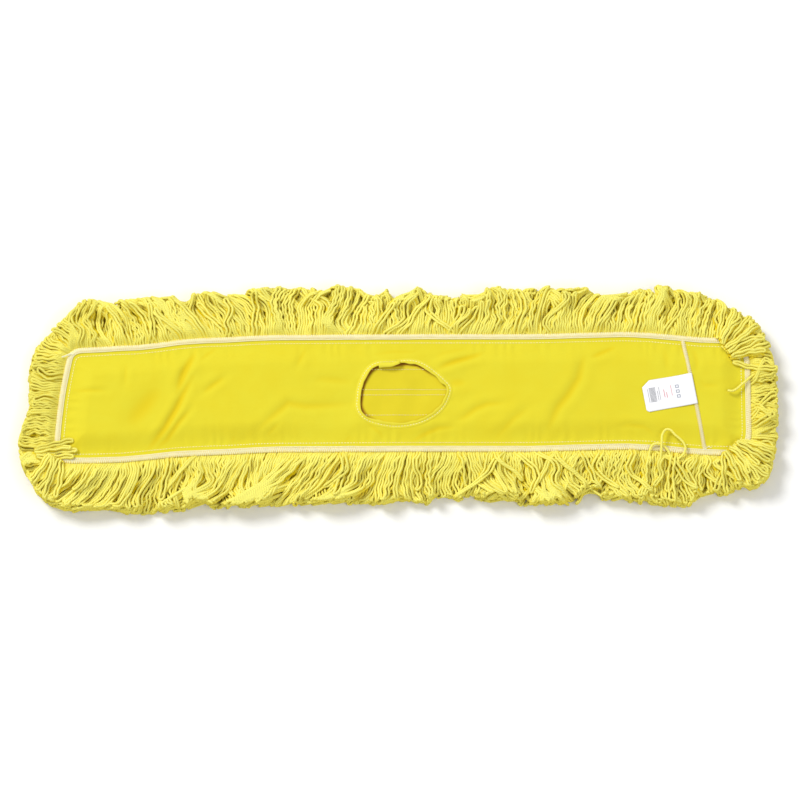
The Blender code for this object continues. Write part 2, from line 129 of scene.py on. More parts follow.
# Notches in the fringe's outline: (place along the head, how deep, half width), in metres.
BACK_NOTCHES = (
    (-0.392, 0.008, 0.020),
    (-0.315, 0.007, 0.018),
    (-0.294, 0.018, 0.009),
    (-0.225, 0.006, 0.026),
    (-0.106, 0.005, 0.010),
    (-0.034, 0.015, 0.013),
    (0.006, 0.015, 0.016),
    (0.060, 0.017, 0.024),
    (0.103, 0.021, 0.013),
    (0.235, 0.008, 0.020),
    (0.290, 0.019, 0.032),
    (0.395, 0.004, 0.020),
)
FRONT_NOTCHES = (
    (-0.400, 0.010, 0.030),
    (-0.268, 0.009, 0.012),
    (-0.080, 0.004, 0.040),
    (0.004, 0.006, 0.020),
    (0.062, 0.012, 0.018),
    (0.097, 0.012, 0.016),
    (0.135, 0.007, 0.022),
    (0.258, 0.021, 0.012),
    (0.290, 0.006, 0.020),
    (0.412, 0.016, 0.018),
)

# Where the outline is drawn in, or stands out where it is under 0: (x, y, how far, half width), in metres.
TRIMS = (
    (-0.497, -0.128, 0.013, 0.042),
    (-0.452, -0.156, 0.007, 0.026),
    (-0.513, -0.055, -0.005, 0.026),
    (0.452, 0.136, 0.025, 0.038),
    (0.505, 0.085, 0.010, 0.034),
    (0.452, -0.138, 0.022, 0.032),
    (0.508, -0.085, 0.006, 0.030),
    (-0.430, 0.138, -0.012, 0.020),
    (-0.490, 0.075, -0.009, 0.030),
    (-0.500, 0.035, -0.010, 0.030),
)

# How the yarn leans as it leaves the edge: (place along the head, lean to the right for each metre outwards).
BACK_LEAN = (
    (-0.50, -0.10),
    (-0.43, -0.20),
    (-0.36, -0.30),
    (-0.29, -0.65),
    (-0.24, -0.60),
    (-0.18, -0.25),
    (-0.13, 0.10),
    (-0.05, 0.15),
    (0.05, 0.05),
    (0.12, 0.15),
    (0.20, 0.30),
    (0.30, 0.50),
    (0.37, 0.30),
    (0.45, 0.30),
    (0.50, 0.10),
)
FRONT_LEAN = (
    (-0.50, -0.60),
    (-0.44, -1.10),
    (-0.38, -0.90),
    (-0.32, -0.50),
    (-0.285, -0.20),
    (-0.25, -0.60),
    (-0.20, -0.50),
    (-0.14, -0.80),
    (-0.09, -0.80),
    (-0.03, -0.50),
    (0.03, -0.30),
    (0.06, -0.10),
    (0.11, 0.25),
    (0.18, 0.00),
    (0.25, -0.15),
    (0.35, 0.00),
    (0.42, 0.50),
    (0.50, 0.30),
)

# Loops that lie over the serging at the corners: (first root, last root, first and last way out in degrees,
# loops, length).
TUFTS = (
    ((0.431, 0.084), (0.451, 0.050), 82, -8, 9, 0.062),
    ((0.434, 0.081), (0.450, 0.056), 64, 14, 5, 0.048),
    ((0.436, -0.079), (0.460, -0.060), -84, -14, 8, 0.058),
    ((0.440, -0.077), (0.456, -0.064), -66, -30, 4, 0.046),
    ((-0.487, -0.073), (-0.483, -0.083), 16, 2, 4, 0.050),
    ((-0.470, -0.082), (-0.452, -0.090), -128, -104, 6, 0.056),
)

# Yarn that has come loose and lies over the cover, in the head's own frame.
STRAY_LOOP = (
    (0.3480, -0.0976, 0.0265),
    (0.3500, -0.0891, 0.0300),
    (0.3512, -0.0806, 0.0330),
    (0.3520, -0.0716, 0.0355),
    (0.3524, -0.0626, 0.0378),
    (0.3532, -0.0541, 0.0380),
    (0.3580, -0.0466, 0.0368),
    (0.3645, -0.0471, 0.0366),
    (0.3700, -0.0531, 0.0364),
    (0.3765, -0.0586, 0.0358),
    (0.3820, -0.0646, 0.0350),
    (0.3845, -0.0721, 0.0336),
    (0.3815, -0.0796, 0.0322),
    (0.3740, -0.0861, 0.0306),
    (0.3665, -0.0931, 0.0278),
)
SMALL_LOOP = (
    (0.3335, -0.0926, 0.0272),
    (0.3352, -0.0826, 0.0308),
    (0.3368, -0.0736, 0.0317),
    (0.3405, -0.0666, 0.0325),
    (0.3465, -0.0646, 0.0332),
    (0.3530, -0.0666, 0.0330),
    (0.3590, -0.0716, 0.0321),
    (0.3630, -0.0786, 0.0310),
    (0.3640, -0.0876, 0.0300),
)
STRAY_TAIL = (
    (0.4420, 0.0079, 0.0366),
    (0.4490, 0.0074, 0.0360),
    (0.4550, 0.0109, 0.0345),
    (0.4610, 0.0164, 0.0335),
    (0.4670, 0.0219, 0.0322),
    (0.4730, 0.0274, 0.0304),
    (0.4790, 0.0324, 0.0270),
)


def linear(red, green, blue):
    """A screen colour, given as shares of full brightness, as the linear colour that shaders take."""
    return tuple(c / 12.92 if c <= 0.04045 else ((c + 0.055) / 1.055) ** 2.4 for c in (red, green, blue))


def length_property(name, description, default):
    kind = {"subtype": "DISTANCE", "unit": "LENGTH", "precision": 5}
    return FloatProperty(name=name, description=description, default=default, min=0.0, **kind)


def colour_property(name, description, red, green, blue):
    """A colour, given as it looks on a screen."""
    kind = {"subtype": "COLOR", "size": 3, "min": 0.0, "max": 1.0}
    return FloatVectorProperty(name=name, description=description, default=linear(red, green, blue), **kind)


class MopSizes(bpy.types.PropertyGroup):
    yarn_diameter: length_property("Yarn diameter", "Thickness of the plied mop yarn", 0.0034)
    yarn_fluff: FloatProperty(name="Yarn fluff", description="How far yarn swells in the pile", default=1.08)
    yarn_pitch: length_property("Yarn pitch", "Room that one strand takes along the edge", 0.0033)
    yarn_twist: length_property("Yarn twist", "Length in which the plies of the yarn go round once", 0.0095)
    lock_width: length_property("Lock width", "Width of a lock of strands that lie alike", 0.024)
    fringe_layers: IntProperty(name="Fringe layers", description="Layers of loops", default=5, min=1)
    sole_pitch: length_property("Sole pitch", "Room that one strand takes along a sole row", 0.0042)
    cloth_thickness: length_property("Cloth thickness", "Thickness of the cover's cloth", 0.0009)
    pucker: length_property("Pucker", "Height of the gathers along the seams", 0.0006)
    thread_diameter: length_property("Overlock thread", "Thickness of the looper threads", 0.0010)
    overlock_pitch: length_property("Overlock pitch", "Length of one overlock stitch", 0.0028)
    stitch_length: length_property("Stitch length", "Length of one lockstitch", 0.0026)
    stitch_gap: length_property("Stitch gap", "Gap between two lockstitches", 0.0014)
    stitch_width: length_property("Stitch width", "Thickness of the lockstitch thread", 0.0012)


class MopColours(bpy.types.PropertyGroup):
    yarn: colour_property("Yarn", "Colour of the mop yarn", 0.99, 0.96, 0.47)
    # Painted shade: the yarn's colour down between the strands, where they lie buried in the pile, and on the
    # strands' sides.
    yarn_shade: colour_property("Yarn, deep", "Colour of the yarn between the locks", 0.985, 0.885, 0.05)
    cover: colour_property("Cover", "Colour of the pocket's cloth", 0.872, 0.830, 0.183)
    # The cover's darker colour, for its dye patches and for the painted shade down in its folds.
    cover_patch_and_fold_shade: colour_property("Cover, folds", "Colour down in the cloth's folds", 0.87, 0.775, 0.08)
    backing: colour_property("Backing", "Colour of the cloth inside the pocket", 0.872, 0.805, 0.142)
    # Painted shadow on the backing under the tape's edge, on the side away from the light; the backing's
    # faint dye patches take this colour too.
    backing_patch_and_shadow: colour_property("Backing, edge", "Colour in the fold under the tape", 0.56, 0.36, 0.04)
    tape: colour_property("Tape", "Colour of the tape round the mouth", 0.905, 0.855, 0.23)
    overlock: colour_property("Overlock", "Colour of the overlock thread", 1.0, 0.99, 0.84)
    overlock_bed: colour_property("Overlock, under", "Colour of the cloth under it", 0.92, 0.83, 0.50)
    thread: colour_property("Lockstitch", "Colour of the lockstitch thread", 0.99, 0.975, 0.76)
    label: colour_property("Label", "Colour of the satin label", 0.955, 0.955, 0.965)
    floor: colour_property("Floor", "Colour of the floor", 0.975, 0.975, 0.975)


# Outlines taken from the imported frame.


def node_points(*names):
    return np.array([v.co[:] for name in names for v in frame["nodes"][name].data.vertices])


Ring = namedtuple("Ring", "points middle half angles radii")


def ring_of(points):
    """A closed outline from loose points, in the order of their angle about the middle of their box."""
    low, high = points.min(0), points.max(0)
    middle, half = (low + high) / 2, (high - low) / 2
    scaled = (points - middle) / half
    angles = np.arctan2(scaled[:, 1], scaled[:, 0])
    order = np.argsort(angles)
    return Ring(points[order], middle, half, angles[order], np.linalg.norm(scaled[order], axis=1))


def ring_at(height, *names):
    """The outline that these nodes' points make at one height."""
    points = node_points(*names)
    level = points[abs(points[:, 2] - height) < 1e-4][:, :2]
    return ring_of(np.unique(level.round(5), axis=0))


def out_of(ring, xy):
    """How far out these points are: under 1 inside the ring, and over 1 outside it."""
    scaled = (xy - ring.middle) / ring.half
    angles = np.arctan2(scaled[..., 1], scaled[..., 0])
    return np.linalg.norm(scaled, axis=-1) / np.interp(angles, ring.angles, ring.radii, period=TAU)


def way_along(points):
    """How far along a line each of its points is."""
    return np.concatenate([[0.0], np.cumsum(np.linalg.norm(np.diff(points, axis=0), axis=1))])


def resampled(points, step, closed=False):
    """Points at an even spacing near step along a line."""
    points = np.asarray(points, float)
    if closed:
        points = np.vstack([points, points[:1]])
    along = way_along(points)
    count = max(int(round(along[-1] / step)), 2)
    at = np.linspace(0, along[-1], count, endpoint=not closed)
    return np.column_stack([np.interp(at, along, column) for column in points.T])


def blurred(values, width, closed=True):
    """Values along a line, evened out over this many neighbours."""
    values = np.asarray(values, float)
    pad = int(width * 2)
    kernel = np.exp(-0.5 * (np.arange(-pad, pad + 1) / width) ** 2)
    kernel /= kernel.sum()
    columns = values.reshape(len(values), -1)
    mode = "wrap" if closed else "edge"
    spread = [np.convolve(np.pad(column, pad, mode=mode), kernel, "valid") for column in columns.T]
    return np.column_stack(spread).reshape(values.shape)


def normals_of(points):
    """The way out from each point of a closed line that runs anticlockwise."""
    ahead = np.roll(points, -1, axis=0) - np.roll(points, 1, axis=0)
    out = np.column_stack([ahead[:, 1], -ahead[:, 0]])
    return out / np.linalg.norm(out, axis=1)[:, None]


def nearest(points, targets):
    """For each target, the number of the nearest point and the distance to it, in plan."""
    tree = KDTree(len(points))
    for i, (x, y) in enumerate(points):
        tree.insert((x, y, 0.0), i)
    tree.balance()
    found = [tree.find((x, y, 0.0)) for x, y in targets]
    return np.array([f[1] for f in found]), np.array([f[2] for f in found])


def middles_of(name, step):
    """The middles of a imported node's points, step by step along the head."""
    points = node_points(name)
    bins = np.round(points[:, 0] / step)
    return np.array([points[bins == b].mean(0) for b in np.unique(bins)])


def owners(xy, names):
    """For each point, the place in names of the node that lies nearest to it."""
    sets = [node_points(name)[:, :2] for name in names]
    belongs = np.repeat(np.arange(len(names)), [len(s) for s in sets])
    return belongs[nearest(np.vstack(sets), xy)[0]]


def eased(share):
    share = np.clip(share, 0.0, 1.0)
    return share * share * (3 - 2 * share)


EDGE_STEP = 0.001

# Where the soft edge of the pocket lies further out: x, y, how far along x and along y, half width.
EDGE_PULLS = (
    (-0.430, 0.070, -0.008, -0.003, 0.028),
    (-0.447, 0.010, -0.012, 0.000, 0.045),
    (-0.455, -0.060, -0.003, 0.000, 0.030),
)


@functools.cache
def edge_line():
    """The pocket's outline, in points a millimetre apart."""
    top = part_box("base_backing")[1][2]
    points = resampled(ring_at(top, "base_backing").points, EDGE_STEP, closed=True)
    drawn = points.copy()
    for x, y, along_x, along_y, width in EDGE_PULLS:
        near = np.exp(-((points[:, 0] - x) ** 2 + (points[:, 1] - y) ** 2) / width**2 / 2)
        drawn += near[:, None] * (along_x, along_y)
    return blurred(resampled(drawn, EDGE_STEP, closed=True), 3)


@functools.cache
def edge_ring():
    """The pocket's outline as a ring."""
    return ring_of(edge_line()[::6])


@functools.cache
def inset_line(distance):
    """The outline moved in from the pocket's edge, as a closed line."""
    edge = edge_line()
    moved = edge - normals_of(blurred(edge, 4)) * distance
    clear = nearest(edge, moved)[1] > distance - 0.0003
    return blurred(resampled(moved[clear], EDGE_STEP, closed=True), 2)


@functools.cache
def mouth_rings():
    """The tape's inner and outer outlines round the mouth."""
    points = node_points("opening_binding")
    level = points[points[:, 2] < points[:, 2].min() + 1e-4][:, :2]
    ring = ring_of(np.unique(level.round(5), axis=0))
    typical = blurred(ring.radii, 5)
    inner = ring_of(ring.points[ring.radii < typical])
    outer = ring_of(ring.points[ring.radii >= typical])
    return inner, outer


@functools.cache
def seam_frame():
    """The middle of the seam between the two panels, the way along it to the back, and its half length."""
    points = node_points("panel_seam_serging")[:, :2]
    middle = (points.min(0) + points.max(0)) / 2
    way = np.linalg.svd(points - points.mean(0), full_matrices=False)[2][0]
    way = way * np.sign(way[1])
    along = (points - middle) @ way
    middle = middle + way * (along.max() + along.min()) / 2
    across = np.array([way[1], -way[0]])
    return middle, way, across, (along.max() - along.min()) / 2


def beyond_seam(xy):
    """How far these points lie to the right of the panel seam."""
    middle, _, across, _ = seam_frame()
    return (np.asarray(xy) - middle) @ across


def distance_to_line(xy, line):
    """Each point's distance from a line of points, and how far along it that is, from 0 to 1."""
    line = np.asarray(line, float)
    before = way_along(line)
    best = np.full(xy.shape[:-1], 1e9)
    share = np.zeros(xy.shape[:-1])
    for a, b, length, start in zip(line[:-1], line[1:], np.diff(before), before):
        t = np.clip(((xy - a) @ (b - a)) / length**2, 0, 1)
        apart = np.linalg.norm(xy - a - t[..., None] * (b - a), axis=-1)
        closer = apart < best
        best = np.where(closer, apart, best)
        share = np.where(closer, (start + t * length) / before[-1], share)
    return best, share


def soft_noise(x, y, scale, seed):
    """A smooth field from -1 to 1 over a plane, made of a few crossed waves."""
    rng = np.random.default_rng(seed)
    total = np.zeros(np.broadcast(x, y).shape)
    for _ in range(7):
        angle, phase, size = rng.uniform(0, TAU), rng.uniform(0, TAU), rng.uniform(0.7, 1.6)
        total += np.sin((x * math.cos(angle) + y * math.sin(angle)) * TAU / (scale * size) + phase)
    return total / 3.5


# The cover's surface.

COVER_GRID = 0.002
GRID_MARGIN = 0.004
GRID_MARGIN_LEFT = 0.012  # more room, where the edge is drawn out
FLANGE = 0.0125
FLANGE_LIFT = 0.0013  # the cover's top at its sewn margin, over the backing's
COVER_SINK = 0.0006  # the cover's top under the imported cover's
PUFF = 0.030
UNDULATION = 0.0011
BROAD_WAVES, SMALL_WAVES = 0.150, 0.045
GATHER_LENGTH = 0.017
GATHER_DRIFT = 0.11, 0.047  # lengths over which the gathers' spacing drifts
GATHER_SWELL = 0.23  # length over which the gathers grow and fade
SPOKES = 0.0010
MOUTH_SAG = 0.0025
BACKING_SWELL = 0.0011
BACKING_LIFT = 0.0034
BACKING_GAP = 0.0005


@functools.cache
def cover_surface():
    """The grid's x and y, the cover's height over it, and how deep in a fold each point is."""
    low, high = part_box("base_backing")
    xs = np.arange(low[0] - GRID_MARGIN_LEFT, high[0] + GRID_MARGIN, COVER_GRID)
    ys = np.arange(low[1] - GRID_MARGIN, high[1] + GRID_MARGIN, COVER_GRID)
    x, y = np.meshgrid(xs, ys, indexing="ij")
    xy = np.stack([x, y], axis=-1)
    edge = edge_line()
    number, inset = nearest(edge, xy.reshape(-1, 2))
    inside = out_of(ring_of(edge[::10]), xy) < 1
    inset = np.where(inside, inset.reshape(x.shape), 0.0)
    along = number.reshape(x.shape) * EDGE_STEP

    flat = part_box("base_backing")[1][2] + FLANGE_LIFT
    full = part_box("cover_panel")[1][2] - COVER_SINK
    rise = eased((inset - FLANGE) / PUFF)
    height = flat + (full - flat) * rise
    height += UNDULATION * rise * soft_noise(x, y, BROAD_WAVES, 3)
    height += 0.35 * UNDULATION * rise * soft_noise(x, y, SMALL_WAVES, 4)

    slow, quick = (np.sin(along * TAU / length) for length in GATHER_DRIFT)
    wave = np.sin(along * TAU / GATHER_LENGTH + 2.5 * slow + 1.5 * quick)
    strength = 0.55 + 0.45 * np.sin(along * TAU / GATHER_SWELL + 1.0)
    fade = eased((inset - 0.010) / 0.006) * np.exp(-np.maximum(inset - 0.018, 0) / 0.011)
    height += context_sizes().pucker * strength * wave * fade

    outer = mouth_rings()[1]
    apart = (out_of(outer, xy) - 1) * 0.055
    angle = np.arctan2(y - outer.middle[1], x - outer.middle[0])
    spokes = np.sin(11 * angle + 1.3 * np.sin(3 * angle)) * (0.6 + 0.4 * np.sin(2 * angle + 1.0))
    height += SPOKES * spokes * eased(apart / 0.004) * np.exp(-np.maximum(apart, 0) / 0.016)
    height -= MOUTH_SAG * rise * (1 - eased((out_of(outer, xy) - 1) / 1.6))

    deep = np.zeros(x.shape)
    for depth, width, line in FOLDS:
        distance, share = distance_to_line(xy, line)
        fade = np.sin(np.pi * np.clip(share, 0.04, 0.96)) ** 0.6
        valley = np.exp(-((distance / width) ** 2))
        shoulder = np.exp(-(((distance - 2.1 * width) / (1.3 * width)) ** 2))
        height += depth * fade * rise * (0.40 * shoulder - 0.85 * valley)
        # How deep in a fold each point is, which the cloth takes as painted shade in its darker colour.
        deep = np.maximum(deep, fade * valley * depth / 0.0024)
    return xs, ys, height, deep


def sampled(values, low, step, xy):
    """A grid's value at each point, between its four neighbours."""
    spot = (np.asarray(xy, float) - low) / step
    i = np.clip(spot[..., 0], 0, values.shape[0] - 1.001)
    j = np.clip(spot[..., 1], 0, values.shape[1] - 1.001)
    i0, j0 = i.astype(int), j.astype(int)
    u, v = i - i0, j - j0
    near = values[i0, j0] * (1 - v) + values[i0, j0 + 1] * v
    far = values[i0 + 1, j0] * (1 - v) + values[i0 + 1, j0 + 1] * v
    return near * (1 - u) + far * u


def on_grid(values, xy):
    xs, ys, _, _ = cover_surface()
    return sampled(values, (xs[0], ys[0]), COVER_GRID, xy)


def cover_height(xy):
    return on_grid(cover_surface()[2], xy)


@functools.cache
def backing_surface():
    """The backing's height over the cover's grid: it swells under the mouth."""
    xs, ys, _, _ = cover_surface()
    x, y = np.meshgrid(xs, ys, indexing="ij")
    xy = np.stack([x, y], axis=-1)
    share = eased((1 - out_of(ring_of(edge_line()[::10]), xy)) / 0.35)
    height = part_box("base_backing")[1][2] + BACKING_SWELL * share * (0.4 + soft_noise(x, y, 0.05, 8))
    height += BACKING_LIFT * (1 - eased((out_of(mouth_rings()[1], xy) - 0.9) / 0.9))
    return np.minimum(height, cover_surface()[2] - context_sizes().cloth_thickness - BACKING_GAP)


def backing_height(xy):
    return on_grid(backing_surface(), xy)


# Meshes.


def context_sizes():
    return bpy.context.scene.mop_sizes


def context_colours():
    return bpy.context.scene.mop_colours


def add_attribute(mesh, name, values):
    mesh.attributes.new(name, "FLOAT", "POINT").data.foreach_set("value", np.asarray(values, np.float32))


def new_piece(name, mesh, material, slot, *nodes, body=HEAD):
    """Puts a finished mesh in the scene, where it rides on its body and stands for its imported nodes."""
    piece = bpy.data.objects.new(name, mesh)
    bpy.context.scene.collection.objects.link(piece)
    if material.name not in [m.name for m in mesh.materials if m]:
        mesh.materials.clear()
        mesh.materials.append(material)
    if body:
        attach(piece, body)
    if nodes:
        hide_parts(*nodes)
    return piece


def grid_faces(keep):
    """Quads between the kept points of a grid, and the number of each kept point, or -1."""
    whole = keep[:-1, :-1] & keep[1:, :-1] & keep[1:, 1:] & keep[:-1, 1:]
    used = np.zeros(keep.shape, bool)
    for di, dj in ((0, 0), (1, 0), (1, 1), (0, 1)):
        used[di : di + whole.shape[0], dj : dj + whole.shape[1]] |= whole
    number = np.full(keep.shape, -1)
    number[used] = np.arange(used.sum())
    i, j = np.nonzero(whole)
    faces = np.column_stack([number[i, j], number[i + 1, j], number[i + 1, j + 1], number[i, j + 1]])
    return faces, used


def modified(mesh, kind, settings):
    """The plain mesh that one modifier makes from this one, which is then removed."""
    helper = bpy.data.objects.new(mesh.name, mesh)
    bpy.context.scene.collection.objects.link(helper)
    settings(helper.modifiers.new(kind.title(), kind))
    made = bpy.data.meshes.new_from_object(helper.evaluated_get(bpy.context.evaluated_depsgraph_get()))
    bpy.data.objects.remove(helper)
    bpy.data.meshes.remove(mesh)
    made.shade_smooth()
    return made


def thickened(mesh, thickness):
    """The mesh with a wall under it, as plain faces that point outwards."""

    def settings(solid):
        solid.thickness = thickness
        solid.offset = -1.0

    return turned_out(modified(mesh, "SOLIDIFY", settings))


def swept_mesh(name, sections, closed):
    """A mesh from rings of points, (places along, points round, 3), joined in turn."""
    count, around, _ = sections.shape
    base = np.arange(count * around).reshape(count, around)
    nxt = np.roll(base, -1, axis=0)
    if not closed:
        base, nxt = base[:-1], nxt[:-1]
    quads = np.stack([base, np.roll(base, -1, axis=1), np.roll(nxt, -1, axis=1), nxt], axis=-1).reshape(-1, 4)
    faces = quads.tolist()
    if not closed:
        faces += [list(range(around))[::-1], list(range((count - 1) * around, count * around))]
    mesh = bpy.data.meshes.new(name)
    mesh.from_pydata(sections.reshape(-1, 3).tolist(), [], faces)
    mesh.shade_smooth()
    mesh.update()
    return mesh


def turned_out(mesh):
    """Makes a closed mesh's faces point outwards."""
    points = np.empty(len(mesh.vertices) * 3, np.float32)
    mesh.vertices.foreach_get("co", points)
    mesh.calc_loop_triangles()
    corners = np.empty(len(mesh.loop_triangles) * 3, np.int32)
    mesh.loop_triangles.foreach_get("vertices", corners)
    a, b, c = points.reshape(-1, 3)[corners.reshape(-1, 3)].astype(float).transpose(1, 0, 2)
    if (np.cross(a, b) * c).sum() < 0:
        mesh.flip_normals()
    return mesh


# Geometry Nodes.


def wire(tree, source, target):
    """Joins a socket, or sets a plain value, on another socket."""
    if isinstance(source, bpy.types.NodeSocket):
        tree.links.new(source, target)
    else:
        target.default_value = source


def add_node(tree, kind, inputs=None, **settings):
    """A node with these settings; inputs holds a socket or a plain value for each named input."""
    made = tree.nodes.new(kind)
    for key, value in settings.items():
        setattr(made, key, value)
    for key, source in (inputs or {}).items():
        wire(tree, source, made.inputs[key])
    return made


def new_tree(name, kind, inputs, outputs):
    """A node tree with these inputs, (name, kind, default), and these outputs, (name, kind)."""
    tree = bpy.data.node_groups.new(name, kind)
    for label, socket_kind, default in inputs:
        socket = tree.interface.new_socket(label, in_out="INPUT", socket_type=socket_kind)
        if default is not None:
            socket.default_value = default
    for label, socket_kind in outputs:
        tree.interface.new_socket(label, in_out="OUTPUT", socket_type=socket_kind)
    return tree, add_node(tree, "NodeGroupInput").outputs, add_node(tree, "NodeGroupOutput").inputs


def new_geometry_tree(name, inputs):
    """A Geometry Nodes tree with a mesh in and out besides its named inputs."""
    mesh = ("Geometry", "NodeSocketGeometry")
    tree, given, result = new_tree(name, "GeometryNodeTree", ((*mesh, None), *inputs), (mesh,))
    tree.is_modifier = True
    return tree, given, result


def finish_tree(tree, geometry, given, result):
    """Ends a tree in Realize Instances and Set Material."""
    real = add_node(tree, "GeometryNodeRealizeInstances", {"Geometry": geometry})
    held = {"Geometry": real.outputs["Geometry"], "Material": given["Material"]}
    wire(tree, add_node(tree, "GeometryNodeSetMaterial", held).outputs["Geometry"], result["Geometry"])
    return tree


# The Random Value node's sockets for plain numbers, whose names it also gives to its other kinds.
FLOAT_MIN, FLOAT_MAX, FLOAT_VALUE = 2, 3, 1


@functools.cache
def strand_tree():
    """Round strands along lines; each point's "thick" attribute swells its strand."""
    inputs = (
        ("Radius", "NodeSocketFloat", 0.0016),
        ("Sides", "NodeSocketInt", 6),
        ("Material", "NodeSocketMaterial", None),
    )
    tree, given, result = new_geometry_tree("Strands", inputs)
    curve = add_node(tree, "GeometryNodeMeshToCurve", {"Mesh": given["Geometry"]})
    thick = add_node(tree, "GeometryNodeInputNamedAttribute", {"Name": "thick"}, data_type="FLOAT")
    held = {"Curve": curve.outputs["Curve"], "Radius": thick.outputs["Attribute"]}
    swell = add_node(tree, "GeometryNodeSetCurveRadius", held)
    held = {"Resolution": given["Sides"], "Radius": given["Radius"]}
    circle = add_node(tree, "GeometryNodeCurvePrimitiveCircle", held, mode="RADIUS")
    index = add_node(tree, "GeometryNodeInputIndex")
    share = math_node(tree, "DIVIDE", index.outputs["Index"], given["Sides"])
    held = {"Geometry": circle.outputs["Curve"], "Name": "around", "Value": share}
    store = add_node(tree, "GeometryNodeStoreNamedAttribute", held, data_type="FLOAT", domain="POINT")
    held = {
        "Curve": swell.outputs["Curve"],
        "Profile Curve": store.outputs["Geometry"],
        "Scale": add_node(tree, "GeometryNodeInputRadius").outputs["Radius"],
        "Fill Caps": True,
    }
    sweep = add_node(tree, "GeometryNodeCurveToMesh", held)
    return finish_tree(tree, sweep.outputs["Mesh"], given, result)


@functools.cache
def stitch_tree():
    """Short stitches laid end to end along lines, with a gap between them."""
    inputs = (
        ("Length", "NodeSocketFloat", 0.0026),
        ("Gap", "NodeSocketFloat", 0.001),
        ("Width", "NodeSocketFloat", 0.0008),
        ("Unevenness", "NodeSocketFloat", 0.12),
        ("Seed", "NodeSocketInt", 1),
        ("Material", "NodeSocketMaterial", None),
    )
    tree, given, result = new_geometry_tree("Stitches", inputs)
    curve = add_node(tree, "GeometryNodeMeshToCurve", {"Mesh": given["Geometry"]})
    pitch = math_node(tree, "ADD", given["Length"], given["Gap"])
    held = {"Curve": curve.outputs["Curve"], "Length": pitch}
    spaced = add_node(tree, "GeometryNodeResampleCurve", held, mode="LENGTH")
    ball = add_node(tree, "GeometryNodeMeshUVSphere", {"Segments": 6, "Rings": 4, "Radius": 0.5})
    held = {"X": given["Width"], "Y": given["Width"], "Z": given["Length"]}
    size = add_node(tree, "ShaderNodeCombineXYZ", held)
    held = {"Geometry": ball.outputs["Mesh"], "Scale": size.outputs["Vector"]}
    shaped = add_node(tree, "GeometryNodeTransform", held)
    held = {"Vector": add_node(tree, "GeometryNodeInputTangent").outputs["Tangent"]}
    turn = add_node(tree, "FunctionNodeAlignRotationToVector", held, axis="Z")
    least = math_node(tree, "SUBTRACT", 1.0, given["Unevenness"])
    most = math_node(tree, "ADD", 1.0, given["Unevenness"])
    held = {FLOAT_MIN: least, FLOAT_MAX: most, "Seed": given["Seed"]}
    chance = add_node(tree, "FunctionNodeRandomValue", held, data_type="FLOAT")
    held = {
        "Points": spaced.outputs["Curve"],
        "Instance": shaped.outputs["Geometry"],
        "Rotation": turn.outputs["Rotation"],
        "Scale": chance.outputs[FLOAT_VALUE],
    }
    placed = add_node(tree, "GeometryNodeInstanceOnPoints", held)
    return finish_tree(tree, placed.outputs["Instances"], given, result)


def polyline_mesh(name, lines, attributes):
    """Loose edges along each line, with a value for each point under each attribute's name."""
    counts = np.array([len(line) for line in lines])
    points = np.vstack(lines)
    number = np.arange(len(points))
    last = np.zeros(len(points), bool)
    last[np.cumsum(counts) - 1] = True
    first = number[~last]
    edges = np.column_stack([first, first + 1])
    mesh = bpy.data.meshes.new(name)
    mesh.vertices.add(len(points))
    mesh.vertices.foreach_set("co", points.astype(np.float32).ravel())
    mesh.edges.add(len(edges))
    mesh.edges.foreach_set("vertices", edges.astype(np.int32).ravel())
    for key, values in attributes.items():
        add_attribute(mesh, key, np.concatenate([np.broadcast_to(v, n) for v, n in zip(values, counts)]))
    mesh.update()
    return mesh


def grown(mesh, tree, values):
    """The plain mesh that a Geometry Nodes tree makes from this one, with its named inputs set."""
    sockets = {item.name: item.identifier for item in tree.interface.items_tree if item.in_out == "INPUT"}

    def settings(modifier):
        modifier.node_group = tree
        for name, value in values.items():
            modifier[sockets[name]] = value

    return modified(mesh, "NODES", settings)


def read_points(mesh, name):
    values = np.empty(len(mesh.vertices), np.float32)
    mesh.attributes[name].data.foreach_get("value", values)
    return values


def add_strand_maps(mesh, cell_count):
    """Two UV maps: metres along and round each strand, and one with a separate cell for each strand."""
    vertices = np.empty(len(mesh.loops), np.int32)
    mesh.loops.foreach_get("vertex_index", vertices)
    starts = np.empty(len(mesh.polygons), np.int32)
    totals = np.empty(len(mesh.polygons), np.int32)
    mesh.polygons.foreach_get("loop_start", starts)
    mesh.polygons.foreach_get("loop_total", totals)
    face = np.repeat(np.arange(len(starts)), totals)
    around = read_points(mesh, "around")[vertices].astype(float)
    low, high = np.ones(len(starts)), np.zeros(len(starts))
    np.minimum.at(low, face, around)
    np.maximum.at(high, face, around)
    wraps = ((high - low) > 0.5)[face] & (totals[face] == 4) & (around < 0.25)
    around[wraps] += 1.0
    along = read_points(mesh, "along")[vertices]
    share = read_points(mesh, "share")[vertices]
    cell = read_points(mesh, "cell")[vertices]
    across = max(int(math.sqrt(cell_count * 14)), 1)
    down = math.ceil(cell_count / across)
    u = (np.mod(cell, across) + 0.08 + 0.84 * around) / across
    v = (np.floor(cell / across) + 0.02 + 0.96 * share) / down
    for name, pair in (("Yarn", (along, around)), ("OFBake", (u, v))):
        layer = mesh.uv_layers.new(name=name)
        layer.data.foreach_set("uv", np.column_stack(pair).astype(np.float32).ravel())
    for name in ("share", "cell", "around", "thick"):
        mesh.attributes.remove(mesh.attributes[name])
    return mesh


